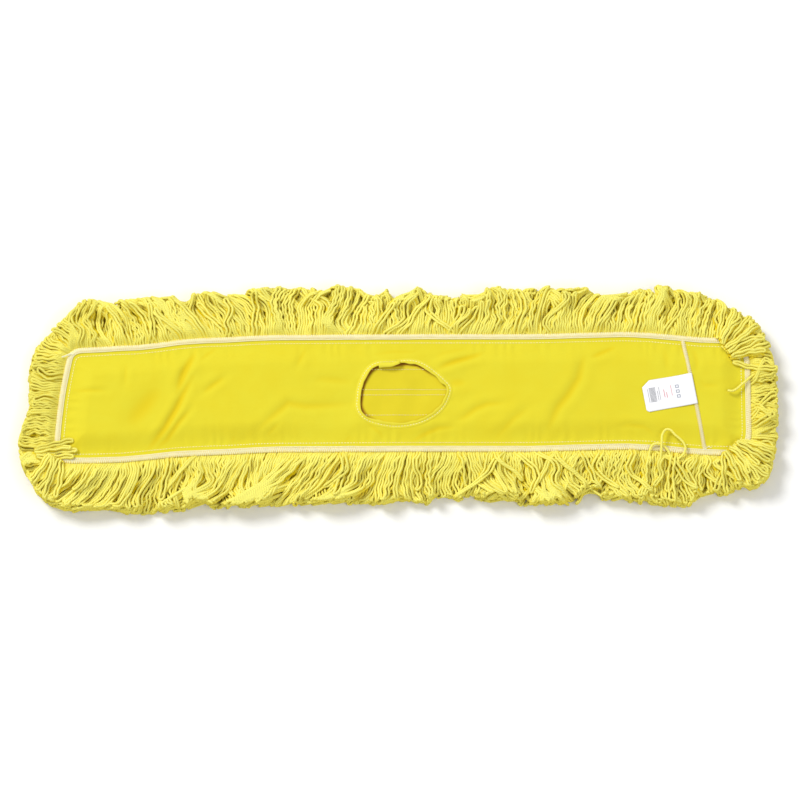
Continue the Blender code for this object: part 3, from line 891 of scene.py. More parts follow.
def strands(name, lines, radius, sides, material, tones, deeps=None, thick=1.0):
    """One mesh of round strands along these lines."""
    along = [way_along(line) for line in lines]
    attributes = {
        "along": along,
        "share": [a / a[-1] for a in along],
        "tone": tones,
        "deep": deeps if deeps is not None else [0.0] * len(lines),
        "thick": [thick] * len(lines),
        "cell": list(range(len(lines))),
    }
    mesh = polyline_mesh(name, lines, attributes)
    made = grown(mesh, strand_tree(), {"Radius": radius, "Sides": sides, "Material": material})
    made.name = name
    return turned_out(add_strand_maps(made, len(lines)))


def stitches(name, lines, material, length, gap, width, seed=1):
    """One mesh of stitches along these lines."""
    mesh = polyline_mesh(name, lines, {})
    values = {"Length": length, "Gap": gap, "Width": width, "Seed": seed, "Material": material}
    made = grown(mesh, stitch_tree(), values)
    made.name = name
    return made


# Shader groups and materials.


def new_group(name, inputs, *outputs):
    """A shader group that puts out these values."""
    return new_tree(name, "ShaderNodeTree", inputs, tuple((label, "NodeSocketFloat") for label in outputs))


def math_node(tree, operation, *values):
    made = add_node(tree, "ShaderNodeMath", operation=operation)
    for value, socket in zip(values, made.inputs):
        wire(tree, value, socket)
    return made.outputs["Value"]


def noise(tree, vector, scale, detail=2.0):
    held = {"Vector": vector, "Scale": scale, "Detail": detail}
    return add_node(tree, "ShaderNodeTexNoise", held).outputs["Fac"]


def split_map(tree, vector):
    """The separate X, Y and Z of a vector."""
    return add_node(tree, "ShaderNodeSeparateXYZ", {"Vector": vector}).outputs


def mixed(tree, share, first, second, blend="MIX"):
    """A colour between two others; each is a socket or a plain colour."""
    made = add_node(tree, "ShaderNodeMix", data_type="RGBA", blend_type=blend)
    colours = [s for s in made.inputs if s.type == "RGBA"]
    for value, socket in zip((first, second), colours):
        wire(tree, value if isinstance(value, bpy.types.NodeSocket) else (*value, 1.0), socket)
    wire(tree, share, made.inputs["Factor"])
    return next(s for s in made.outputs if s.type == "RGBA")


@functools.cache
def ply_group():
    """Plies twisted round a strand, from metres along it and turns round it."""
    inputs = (
        ("Map", "NodeSocketVector", None),
        ("Plies", "NodeSocketFloat", 3.0),
        ("Twist", "NodeSocketFloat", 0.0095),
    )
    tree, given, result = new_group("Ply twist", inputs, "Height", "Groove")
    split = split_map(tree, given["Map"])
    turns = math_node(tree, "ADD", math_node(tree, "DIVIDE", split["X"], given["Twist"]), split["Y"])
    phase = math_node(tree, "MULTIPLY", math_node(tree, "MULTIPLY", turns, given["Plies"]), math.pi)
    wave = math_node(tree, "ABSOLUTE", math_node(tree, "SINE", phase))
    wire(tree, math_node(tree, "POWER", wave, 0.6), result["Height"])
    wire(tree, math_node(tree, "POWER", math_node(tree, "SUBTRACT", 1.0, wave), 2.0), result["Groove"])
    return tree


@functools.cache
def weave_group():
    """A fine twill, with the yarns' unevenness."""
    inputs = (("Map", "NodeSocketVector", None), ("Pitch", "NodeSocketFloat", 0.0008))
    tree, given, result = new_group("Twill weave", inputs, "Height")
    split = split_map(tree, given["Map"])
    x, y = (math_node(tree, "DIVIDE", split[axis], given["Pitch"]) for axis in "XY")
    diagonal = math_node(tree, "SINE", math_node(tree, "MULTIPLY", math_node(tree, "ADD", x, y), TAU / 2))
    warp = math_node(tree, "SINE", math_node(tree, "MULTIPLY", x, TAU))
    both = math_node(tree, "MULTIPLY_ADD", warp, 0.35, diagonal)
    scale = math_node(tree, "DIVIDE", 0.6, given["Pitch"])
    uneven = noise(tree, given["Map"], scale, 3.0)
    total = math_node(tree, "MULTIPLY_ADD", uneven, 1.2, both)
    wire(tree, math_node(tree, "MULTIPLY_ADD", total, 0.3, 0.3), result["Height"])
    return tree


@functools.cache
def patch_group():
    """Broad and small patches of lighter and darker dye."""
    inputs = (("Map", "NodeSocketVector", None), ("Size", "NodeSocketFloat", 0.08))
    tree, given, result = new_group("Dye patches", inputs, "Shade")
    broad = noise(tree, given["Map"], math_node(tree, "DIVIDE", 1.0, given["Size"]), 2.0)
    small = noise(tree, given["Map"], math_node(tree, "DIVIDE", 5.0, given["Size"]), 4.0)
    broad = math_node(tree, "MULTIPLY", broad, 0.6)
    wire(tree, math_node(tree, "MULTIPLY_ADD", small, 0.4, broad), result["Shade"])
    return tree


@functools.cache
def window_group():
    """1 inside a window of the map, and 0 outside it."""
    names = ("Centre U", "Centre V", "Half width", "Half height")
    inputs = (("Map", "NodeSocketVector", None),) + tuple((n, "NodeSocketFloat", 0.1) for n in names)
    tree, given, result = new_group("Print window", inputs, "Mask")
    split = split_map(tree, given["Map"])
    inside = [
        math_node(tree, "COMPARE", split[axis], given[centre], given[half])
        for axis, centre, half in (("X", "Centre U", "Half width"), ("Y", "Centre V", "Half height"))
    ]
    wire(tree, math_node(tree, "MULTIPLY", *inside), result["Mask"])
    return tree


def grouped(tree, group, output=0, **values):
    """What a group puts out in a material; its inputs are named with _ for a space."""
    held = {name.replace("_", " "): value for name, value in values.items()}
    return add_node(tree, "ShaderNodeGroup", held, node_tree=group).outputs[output]


def attribute(tree, name):
    return add_node(tree, "ShaderNodeAttribute", attribute_name=name).outputs["Fac"]


def object_map(tree):
    return add_node(tree, "ShaderNodeTexCoord").outputs["Object"]


def uv_map(tree, name):
    return add_node(tree, "ShaderNodeUVMap", uv_map=name).outputs["UV"]


def bumped(tree, height, distance, strength, below=None):
    """A normal raised by a height, on top of the normal below it where there is one."""
    held = {"Height": height, "Distance": distance, "Strength": strength}
    if below is not None:
        held["Normal"] = below
    return add_node(tree, "ShaderNodeBump", held).outputs["Normal"]


def new_material(name, roughness, sheen=0.0, sheen_tint=(1.0, 1.0, 1.0), specular=0.3):
    material = bpy.data.materials.new(name)
    material.use_nodes = True
    shader = material.node_tree.nodes["Principled BSDF"]
    shader.inputs["Roughness"].default_value = roughness
    shader.inputs["Specular IOR Level"].default_value = specular
    shader.inputs["Sheen Weight"].default_value = sheen
    shader.inputs["Sheen Roughness"].default_value = 0.5
    shader.inputs["Sheen Tint"].default_value = (*sheen_tint, 1.0)
    return material, material.node_tree, shader


def toned(tree, colour, tone):
    """A colour made lighter or darker by a value."""
    grey = add_node(tree, "ShaderNodeCombineColor", dict.fromkeys(("Red", "Green", "Blue"), tone))
    return mixed(tree, 1.0, colour, grey.outputs["Color"], "MULTIPLY")


@functools.cache
def yarn_material():
    colours = context_colours()
    material, tree, shader = new_material("Mop yarn", 0.9, 0.10, (1.0, 0.97, 0.6), 0.15)
    twist = {"Map": uv_map(tree, "Yarn"), "Plies": 3.0, "Twist": context_sizes().yarn_twist}
    ply = add_node(tree, "ShaderNodeGroup", twist, node_tree=ply_group())
    # Painted shade: the yarn goes to its shade colour on the sides of each strand, where the normal turns
    # away from straight up, and by its "deep" attribute, which is mostly how far the strand lies buried in
    # the pile.
    facing = split_map(tree, add_node(tree, "ShaderNodeNewGeometry").outputs["Normal"])
    side = math_node(tree, "MULTIPLY_ADD", math_node(tree, "ABSOLUTE", facing["Z"]), -0.95, 0.84)
    deep = math_node(tree, "MAXIMUM", attribute(tree, "deep"), side)
    colour = mixed(tree, deep, tuple(colours.yarn), tuple(colours.yarn_shade))
    tone = math_node(tree, "MULTIPLY_ADD", attribute(tree, "tone"), 0.10, 0.93)
    fleck = noise(tree, object_map(tree), 260.0, 3.0)
    tone = math_node(tree, "MULTIPLY_ADD", fleck, 0.10, math_node(tree, "SUBTRACT", tone, 0.05))
    # Painted shade in the grooves between the plies.
    tone = math_node(tree, "MULTIPLY_ADD", ply.outputs["Groove"], -0.10, tone)
    wire(tree, toned(tree, colour, tone), shader.inputs["Base Color"])
    fuzz = bumped(tree, noise(tree, object_map(tree), 1500.0, 2.0), 0.0003, 0.35)
    wire(tree, bumped(tree, ply.outputs["Height"], 0.0007, 0.8, fuzz), shader.inputs["Normal"])
    return material


def cloth_material(name, colour, patch_and_shade_colour, pitch, roughness=0.82, patchy=0.9):
    material, tree, shader = new_material(name, roughness, 0.12, (1.0, 0.98, 0.8), 0.2)
    where = object_map(tree)
    # The "fold" attribute is painted shade: down in the cover's folds, under the tape's edge on the backing,
    # and where the tape's inner edge wavers back. There the colour goes towards the darker colour, as in the
    # dye patches.
    fold = math_node(tree, "MINIMUM", attribute(tree, "fold"), 1.0)
    shade = grouped(tree, patch_group(), Map=where, Size=0.09)
    share = math_node(tree, "MULTIPLY_ADD", shade, patchy, -0.28 * patchy)
    share = math_node(tree, "MAXIMUM", fold, share)
    base = mixed(tree, share, tuple(colour), tuple(patch_and_shade_colour))
    weave = grouped(tree, weave_group(), Map=where, Pitch=pitch)
    tone = math_node(tree, "MULTIPLY_ADD", weave, 0.06, 0.96)
    wire(tree, toned(tree, base, tone), shader.inputs["Base Color"])
    wire(tree, math_node(tree, "MULTIPLY_ADD", shade, 0.12, roughness - 0.06), shader.inputs["Roughness"])
    soft = bumped(tree, noise(tree, where, 55.0, 3.0), 0.0012, 0.35)
    wire(tree, bumped(tree, weave, 0.00018, 0.5, soft), shader.inputs["Normal"])
    return material


@functools.cache
def cover_material():
    colours = context_colours()
    return cloth_material("Cover twill", colours.cover, colours.cover_patch_and_fold_shade, 0.0009)


@functools.cache
def backing_material():
    colours = context_colours()
    return cloth_material("Backing cloth", colours.backing, colours.backing_patch_and_shadow, 0.0011, patchy=0.25)


@functools.cache
def tape_material():
    colours = context_colours()
    # The tape's dye patches and painted shade go towards the cover's colour.
    return cloth_material("Bias tape", colours.tape, colours.cover, 0.0006, 0.75)


def thread_material(name, colour, twist):
    """Sewing thread, with its plies where the piece has a strand map."""
    material, tree, shader = new_material(name, 0.6, 0.1, (1.0, 1.0, 0.9), 0.35)
    fleck = noise(tree, object_map(tree), 700.0, 2.0)
    shade = grouped(tree, patch_group(), Map=object_map(tree), Size=0.03)
    tone = math_node(tree, "MULTIPLY_ADD", fleck, 0.16, math_node(tree, "MULTIPLY_ADD", shade, 0.10, 0.86))
    wire(tree, toned(tree, tuple(colour), tone), shader.inputs["Base Color"])
    if twist:
        ply = grouped(tree, ply_group(), Map=uv_map(tree, "Yarn"), Plies=2.0, Twist=twist)
        wire(tree, bumped(tree, ply, 0.00015, 0.6), shader.inputs["Normal"])
    else:
        wire(tree, bumped(tree, fleck, 0.0002, 0.5), shader.inputs["Normal"])
    return material


@functools.cache
def overlock_material():
    return thread_material("Overlock thread", context_colours().overlock, 0.0016)


@functools.cache
def overlock_bed_material():
    return thread_material("Overlock bed", context_colours().overlock_bed, 0.0)


@functools.cache
def lockstitch_material():
    return thread_material("Lockstitch thread", context_colours().thread, 0.0)


# The label's print: (middle along, middle across, half length, half width, colour), as shares of the label.
INK_GREY = linear(0.34, 0.35, 0.39)
INK_RED = linear(0.83, 0.42, 0.45)
INK_BLUE = linear(0.36, 0.42, 0.52)
PRINT_BARS = tuple((0.82, 0.30 + 0.036 * i, 0.060, 0.010, INK_GREY) for i in range(13))
PRINT_LINES = (
    (0.905, 0.50, 0.004, 0.22, INK_GREY),
    (0.725, 0.46, 0.004, 0.16, INK_GREY),
    (0.690, 0.52, 0.004, 0.21, INK_GREY),
    (0.600, 0.50, 0.007, 0.13, INK_RED),
    (0.555, 0.44, 0.007, 0.09, INK_RED),
    (0.455, 0.56, 0.005, 0.17, INK_RED),
)
PRINT_BOXES = tuple((0.335, 0.34 + 0.16 * i, 0.034, 0.052, INK_BLUE) for i in range(3))
PRINT_BOX_INSIDES = tuple((0.335, 0.34 + 0.16 * i, 0.022, 0.034, None) for i in range(3))


@functools.cache
def label_material():
    paper = tuple(context_colours().label)
    material, tree, shader = new_material("Satin label", 0.42, 0.1, (1.0, 1.0, 1.0), 0.45)
    where = uv_map(tree, "Label")
    colour = paper
    for u, v, half_u, half_v, ink in PRINT_BARS + PRINT_LINES + PRINT_BOXES + PRINT_BOX_INSIDES:
        window = {"Centre_U": u, "Centre_V": v, "Half_width": half_u, "Half_height": half_v}
        mask = grouped(tree, window_group(), Map=where, **window)
        colour = mixed(tree, math_node(tree, "MULTIPLY", mask, 0.85), colour, ink or paper)
    shade = grouped(tree, patch_group(), Map=object_map(tree), Size=0.02)
    tone = math_node(tree, "MULTIPLY_ADD", shade, 0.05, 0.97)
    wire(tree, toned(tree, colour, tone), shader.inputs["Base Color"])
    weave = grouped(tree, weave_group(), Map=object_map(tree), Pitch=0.0004)
    wire(tree, bumped(tree, weave, 0.00006, 0.4), shader.inputs["Normal"])
    return material


# Cloth.

PANEL_GAP = 0.0005  # from the middle of the panel seam to each panel's cut edge


def cloth_sheet(name, keep, border, heights, fold, thickness):
    """A sheet over the kept points of the cover's grid, its rim drawn onto the border's lines."""
    xs, ys, _, _ = cover_surface()
    faces, used = grid_faces(keep)
    x, y = np.meshgrid(xs, ys, indexing="ij")
    xy = np.column_stack([x[used], y[used]])
    edges = np.sort(np.vstack([faces[:, [k, (k + 1) % 4]] for k in range(4)]), axis=1)
    lone, times = np.unique(edges, axis=0, return_counts=True)
    rim = np.unique(lone[times == 1])
    number, apart = nearest(border, xy[rim])
    close = apart < 1.6 * COVER_GRID
    xy[rim[close]] = border[number[close]]
    mesh = bpy.data.meshes.new(name)
    mesh.from_pydata(np.column_stack([xy, heights(xy)]).tolist(), [], faces.tolist())
    add_attribute(mesh, "fold", on_grid(fold, xy))
    return thickened(mesh, thickness)


def away_from_light(xy, ring):
    """From -1 to 1: how far each place lies to the back and left of a ring's middle."""
    way = xy - ring.middle
    return (way @ (-0.60, 0.80)) / np.maximum(np.linalg.norm(way, axis=-1), 1e-6)


class MOP_OT_cloth(bpy.types.Operator):
    """Make the cover panel, the end panel and the backing"""

    bl_idname = "mop.cloth"
    bl_label = "Cloth"

    def execute(self, context):
        thickness = context.scene.mop_sizes.cloth_thickness
        # fold: how deep in a fold each point is, the mask of the cloth's painted shade.
        xs, ys, _, fold = cover_surface()
        xy = np.stack(np.meshgrid(xs, ys, indexing="ij"), axis=-1)
        cloth_edge = inset_line(0.0008)
        inner, outer = mouth_rings()
        hole = ring_of((inner.points * 2 + outer.points) / 3)
        inside = (out_of(ring_of(cloth_edge[::6]), xy) < 1) & (out_of(hole, xy) > 1)
        past = beyond_seam(xy)
        middle, way, across, half = seam_frame()
        seam = resampled([middle - way * half, middle + way * half], 0.001)
        lines = [cloth_edge, resampled(hole.points, 0.001, closed=True)]
        for name, node, side in (("cover_cloth", "cover_panel", -1), ("end_cloth", "end_panel", 1)):
            border = np.vstack([*lines, seam + across * PANEL_GAP * side])
            keep = inside & (past * side > PANEL_GAP)
            mesh = cloth_sheet(name, keep, border, cover_height, fold, thickness)
            piece = new_piece(name, mesh, cover_material(), "cover_cloth", node)

        low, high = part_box("base_backing")
        keep = out_of(edge_ring(), xy) < 1
        # Painted shadow on the backing: from just inside the tape's inner edge outwards, on the side away
        # from the light; under the cover it is hidden.
        painted_tape_shadow = eased((out_of(inner, xy) - 0.90) / 0.07) * eased((away_from_light(xy, inner) + 0.25) / 0.5)
        mesh = cloth_sheet("backing_cloth", keep, edge_line(), backing_height, painted_tape_shadow, high[2] - low[2])
        piece = new_piece("backing_cloth", mesh, backing_material(), "backing_cloth", "base_backing")
        return {"FINISHED"}


# Overlock.

OVERLOCK_SECTION = (  # share of the width in from the edge, height over the band's foot, in metres
    (1.00, 0.0000),
    (0.98, 0.0003),
    (0.80, 0.0006),
    (0.50, 0.0008),
    (0.20, 0.0006),
    (0.04, 0.0001),
    (0.00, -0.0012),
    (0.06, -0.0026),
    (0.30, -0.0030),
    (0.90, -0.0030),
)
OVERLOCK_WIDTH = 0.0072
OVERLOCK_PROUD = 0.0006  # how far the band stands out over the edge
OVERLOCK_STITCH = (  # share of one stitch's length, share of the width in from the edge
    (0.00, 0.99),
    (0.28, 0.52),
    (0.50, 0.03),
    (0.52, -0.10),
    (0.66, 0.10),
    (0.84, 0.58),
)
SERGINGS = ("serging_back", "serging_left", "serging_front", "serging_right")
CORNER_TAIL = (  # the thread's end, from the back left corner
    (0.0050, -0.0030),
    (0.0010, -0.0022),
    (-0.0030, -0.0034),
    (-0.0075, -0.0062),
    (-0.0120, -0.0072),
)
SEAM_WIDTH = 0.0056
SEAM_SECTION = (  # share of the width across the seam, height over the cover
    (-0.50, -0.0002),
    (-0.40, 0.0005),
    (-0.10, 0.0009),
    (0.20, 0.0009),
    (0.42, 0.0004),
    (0.50, -0.0002),
    (0.30, -0.0008),
    (-0.30, -0.0008),
)
SEAM_STITCH = (  # share of one stitch's length, share of the width, height
    (0.00, -0.46, 0.0005),
    (0.25, 0.00, 0.0016),
    (0.50, 0.46, 0.0005),
    (0.75, 0.05, 0.0016),
)
SEAM_TAIL = ((0.0, 0.0), (0.002, 0.001), (0.005, 0.0035), (0.008, 0.0045), (0.011, 0.003))


def band_point(edge, inwards, share, height):
    """A point of the overlock band, from its place across the band."""
    xy = edge + inwards * (OVERLOCK_WIDTH * share - OVERLOCK_PROUD)[..., None]
    return np.concatenate([xy, height[..., None]], axis=-1)


def band_top(share):
    """The band's upper height at a share of its width in from the edge."""
    shares, heights = zip(*OVERLOCK_SECTION[:7][::-1])
    return np.interp(share, shares, heights)


def runs_of(owner, count):
    """Unbroken stretches of a closed line that belong to one node: (node's number, places)."""
    change = np.flatnonzero(owner != np.roll(owner, 1))
    for start, end in zip(change, np.roll(change, -1)):
        yield owner[start], np.arange(start - 1, (end if end > start else end + count) + 2) % count


class MOP_OT_overlock(bpy.types.Operator):
    """Make the overlock stitching round the pocket and over the panel seam"""

    bl_idname = "mop.overlock"
    bl_label = "Overlock stitching"

    def execute(self, context):
        sizes = context.scene.mop_sizes
        edge = edge_line()
        inwards = -normals_of(blurred(edge, 4))
        count = len(edge)
        foot = blurred(cover_height(blurred(edge + inwards * 0.004, 3)) + 0.0002, 3)
        rng = np.random.default_rng(21)
        sway = blurred(rng.normal(0, 1, count), 12) * 0.0011
        for number, places in runs_of(owners(edge, SERGINGS), count):
            if len(places) < 20:
                continue
            name = SERGINGS[number]
            band = (edge[places], inwards[places], foot[places], sway[places])
            mesh = self.bed(name + "_bed", places, band)
            new_piece(name + "_bed", mesh, overlock_bed_material(), "thread", name)
            lines = self.loopers(band, sizes.overlock_pitch, rng)
            self.threads(name + "_threads", lines, sizes, name)
        self.panel_seam(sizes, rng)
        self.corner_tail(sizes)
        return {"FINISHED"}

    def threads(self, name, lines, sizes, node):
        """The looper threads of one band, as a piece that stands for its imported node."""
        mesh = strands(name, lines, sizes.thread_diameter / 2, 5, overlock_material(), [0.5] * 2)
        new_piece(name, mesh, overlock_material(), "thread", node)

    def bed(self, name, places, band):
        """The band that the looper threads lie on, which swells and narrows a little along its way."""
        shares = np.array([share for share, _ in OVERLOCK_SECTION])
        rises = np.array([rise for _, rise in OVERLOCK_SECTION])
        swell = 1 + 0.10 * np.sin(places * TAU / 23 + 2 * np.sin(places * TAU / 61))
        sections = []
        for spot, way, base, more in zip(*(values[::2] for values in (*band[:3], swell))):
            reach = np.where(rises > 0, rises * more, rises)
            sections.append(band_point(spot[None, :], way[None, :], shares, base + reach))
        return turned_out(swept_mesh(name, np.array(sections), closed=False))

    def loopers(self, band, pitch, rng):
        """The thread that goes over the band and back, and the chain along the band's inner side."""
        last = len(band[0]) - 1
        count = int((last + 1) * EDGE_STEP / pitch)
        turns = np.concatenate([[k + turn for turn, _ in OVERLOCK_STITCH] for k in range(count)])
        shares = np.tile([share for _, share in OVERLOCK_STITCH], count) + rng.normal(0, 0.025, len(turns))
        chain_turns = np.arange(0, count, 0.25)
        chain_shares = 0.97 + 0.045 * np.sin(chain_turns * TAU)
        lines = []
        for at, share, proud in ((turns, shares, 0.00042), (chain_turns, chain_shares, 0.00050)):
            lines.append(self.on_band(band, np.clip(at * pitch / EDGE_STEP, 0, last), share, proud))
        return lines

    def on_band(self, band, at, share, proud):
        """Points on the band at some places along it and across it."""
        places = np.arange(len(band[0]))
        columns = np.column_stack(band)
        values = np.column_stack([np.interp(at, places, column) for column in columns.T])
        drop = np.where(share < 0, share * 0.012, 0.0)
        height = values[:, 4] + band_top(np.clip(share, 0, 1)) + proud + drop
        moved = share + values[:, 5] / OVERLOCK_WIDTH
        return band_point(values[:, :2], values[:, 2:4], np.maximum(moved, -0.04), height)

    def corner_tail(self, sizes):
        """The overlock's thread end, left at the back left corner."""
        edge = edge_line()
        corner = edge[np.argmin(edge[:, 0] - 0.9 * edge[:, 1])]
        line = blurred(resampled(corner + np.array(CORNER_TAIL), 0.0008), 2, closed=False)
        low, high = cover_height(line[:1])[0] + 0.0016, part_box("fringe_left")[1][2] + 0.0085
        height = np.linspace(low, high, len(line))
        both = [np.column_stack([line + aside, height + aside / 2]) for aside in (0.0, 0.0008)]
        mesh = strands("corner_tail", both, sizes.thread_diameter * 0.7, 6, overlock_material(), [0.9] * 2)
        new_piece("corner_tail", mesh, overlock_material(), "thread", "serging_left")

    def panel_seam(self, sizes, rng):
        """The seam between the panels: a low ridge with the same looper threads across it."""
        name = "panel_seam_serging"
        middle, way, across, half = seam_frame()
        at = np.arange(-half - 0.003, half + 0.004, 0.002)
        centre = middle + way * at[:, None]
        height = blurred(cover_height(centre), 3, closed=False)
        sections = [
            [[*(spot + across * SEAM_WIDTH * share), base + rise] for share, rise in SEAM_SECTION]
            for spot, base in zip(centre, height)
        ]
        mesh = turned_out(swept_mesh("panel_seam_bed", np.array(sections), closed=False))
        new_piece("panel_seam_bed", mesh, overlock_bed_material(), "thread", name)
        pitch = sizes.overlock_pitch * 0.95
        line = []
        for k in range(int((2 * half + 0.005) / pitch)):
            for turn, share, rise in SEAM_STITCH:
                where = -half - 0.002 + (k + turn) * pitch
                spot = middle + way * where + across * SEAM_WIDTH * (share + rng.normal(0, 0.03))
                line.append((*spot, np.interp(where, at, height) + rise))
        tail = np.array(line[0][:2]) + np.array(SEAM_TAIL)
        tail = np.column_stack([tail, cover_height(tail) + 0.0010])
        self.threads("panel_seam_threads", [np.array(line), resampled(tail, 0.001)], sizes, name)


# Lockstitch rows.

LOCKSTITCH_INSET = 0.0118
SEAM_GAP = 0.002  # from the panel seam to the end of each panel's row
BACKING_THREAD = 0.72  # share of the thickness that a stitch has on the backing

def centre_line(name):
    """The middle line of a packed band of stitches that runs along the head."""
    return resampled(blurred(middles_of(name, 0.02)[:, :2], 0.7, closed=False), 0.002)


class MOP_OT_lockstitch(bpy.types.Operator):
    """Make the rows of lockstitch on the panels and the backing"""

    bl_idname = "mop.lockstitch"
    bl_label = "Lockstitch rows"

    def execute(self, context):
        sizes = context.scene.mop_sizes
        ring = inset_line(LOCKSTITCH_INSET)
        past = beyond_seam(ring)
        for name, side in (("lockstitch_cover", -1), ("lockstitch_end", 1)):
            keep = past * side > SEAM_GAP
            start = np.flatnonzero(keep & ~np.roll(keep, 1))[0]
            line = np.roll(ring, -start, axis=0)[: keep.sum()]
            self.row(sizes, name, line, cover_height(line))
        for name in ("seam_centre_back", "seam_centre_front", "seam_back", "seam_front"):
            line = centre_line(name)
            self.row(sizes, name, line, backing_height(line) + 0.0002, BACKING_THREAD, seed=3)
        return {"FINISHED"}

    def row(self, sizes, name, line, height, thick=1.0, seed=1):
        """One row of stitches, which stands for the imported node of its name."""
        points = np.column_stack([line, height + 0.00015])
        length, gap, width = sizes.stitch_length, sizes.stitch_gap, sizes.stitch_width * thick
        mesh = stitches(name + "_thread", [points], lockstitch_material(), length, gap, width, seed)
        new_piece(name + "_thread", mesh, lockstitch_material(), "thread", name)


# The mouth's tape.

TAPE_SECTION = (  # share of the width out from the mouth, height over the cover, in metres
    (1.02, -0.0005),
    (1.03, 0.0001),
    (0.94, 0.0005),
    (0.76, 0.0007),
    (0.60, 0.0002),
    (0.46, 0.0010),
    (0.22, 0.0019),
    (0.03, 0.0014),
    (-0.04, 0.0004),
    (0.00, -0.0008),
    (0.16, -0.0016),
    (0.45, -0.0019),
    (0.80, -0.0015),
)
STITCHED_AT = 4  # the section's point that the stitches pull down
TAPE_STEP = 0.0014
TAPE_END_WIDTH = 0.0062
TAPE_END_STEPS = 22
TAPE_END_SECTION = ((-0.5, 0.0), (-0.45, 0.0007), (0.0, 0.0011), (0.45, 0.0007), (0.5, 0.0), (0.0, -0.0001))


@functools.cache
def tape_lines():
    """The tape's inner line, the way out and the width at each place round the mouth."""
    inner, outer = mouth_rings()
    line = blurred(resampled(inner.points, TAPE_STEP, closed=True), 2)
    out = normals_of(line)
    rim = resampled(outer.points, 0.0005, closed=True)
    width = blurred(nearest(rim, line)[1], 4)
    return line, out, width


class MOP_OT_mouth(bpy.types.Operator):
    """Make the tape bound round the mouth, its loose end and its stitches"""

    bl_idname = "mop.mouth"
    bl_label = "Mouth tape"

    def execute(self, context):
        sizes = context.scene.mop_sizes
        line, out, width = tape_lines()
        count = len(line)
        rng = np.random.default_rng(31)
        wave = blurred(rng.normal(0, 1, count), 2.2) * 2.6
        slow = blurred(rng.normal(0, 1, count), 9) * 4.5
        back = eased((line[:, 1] - line[:, 1].mean()) / 0.03 * 0.5 + 0.5)
        shares = np.array([share for share, _ in TAPE_SECTION])
        rises = np.array([rise for _, rise in TAPE_SECTION])
        at_edge = np.exp(-((shares / 0.30) ** 2))
        sections = []
        for i in range(count):
            reach = shares * width[i] * 0.96 - at_edge * (0.00055 * wave[i] + 0.0006 * slow[i])
            pucker = 0.00022 * np.sin(i * 1.9 + 1.2 * wave[i]) * np.exp(-(((shares - 0.55) / 0.35) ** 2))
            spots = line[i] + out[i] * reach[:, None]
            ground = float(cover_height(line[i] + out[i] * width[i] * 1.05))
            lift = at_edge * (0.0004 + 0.0007 * back[i] + 0.0004 * slow[i])
            lean = (1 - shares) * 0.0006
            heights = ground + rises + np.where(rises > 0, pucker, 0) + lift + lean
            sections.append(np.column_stack([spots, heights]))
        sections = np.array(sections)
        mesh = turned_out(swept_mesh("mouth_tape", sections, closed=True))
        # Painted shade where the tape's inner edge wavers back.
        add_attribute(mesh, "fold", np.repeat(np.clip(-wave * 0.25, 0, 0.6), len(TAPE_SECTION)))
        new_piece("mouth_tape", mesh, tape_material(), "tape", "opening_binding")

        row = sections[:, STITCHED_AT].copy()
        row[:, 2] += 0.00030
        row = np.vstack([row, row[:1]])
        length, gap = sizes.stitch_length * 0.9, sizes.stitch_gap * 1.2
        mesh = stitches("mouth_tape_thread", [row], lockstitch_material(), length, gap, sizes.stitch_width, 5)
        new_piece("mouth_tape_thread", mesh, lockstitch_material(), "thread", "opening_stitching")
        self.loose_end()
        return {"FINISHED"}

    def loose_end(self):
        """The tape's end, which laps over its start and hangs out over the mouth."""
        low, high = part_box("binding_overlap")
        root = np.array([high[0] - 0.0015, high[1] - 0.0040, high[2] - 0.0003])
        tip = np.array([low[0] + 0.0010, low[1] + 0.0042, low[2] - 0.0022])
        way = (tip - root)[:2] / np.linalg.norm((tip - root)[:2])
        across = np.array([-way[1], way[0]])
        rows = []
        for t in np.linspace(0, 1, TAPE_END_STEPS):
            centre = root[:2] * (1 - t) + tip[:2] * t + across * 0.0010 * math.sin(t * 5.0)
            height = root[2] * (1 - t * t) + tip[2] * t * t + 0.0003 * math.sin(t * 11)
            width = TAPE_END_WIDTH * (1 - 0.10 * math.sin(t * 7 + 1) - 0.12 * max(t - 0.9, 0) * 10)
            tilt = 0.0007 * math.sin(t * 4 + 0.5)
            section = ((across * width * share, rise + tilt * share * 2) for share, rise in TAPE_END_SECTION)
            rows.append([[*(centre + aside), height + rise] for aside, rise in section])
        mesh = turned_out(swept_mesh("tape_end", np.array(rows), closed=False))
        add_attribute(mesh, "fold", np.zeros(len(mesh.vertices)))
        new_piece("tape_end", mesh, tape_material(), "tape", "binding_overlap")


# The label.

BACK_CUT, FRONT_CUT = 0.011, 0.003  # how far the cut corners reach back from the label's end
BACK_CUT_SLOPE = 0.75
LABEL_STEPS = 40, 26  # along it, across it
LABEL_THICKNESS = 0.0003


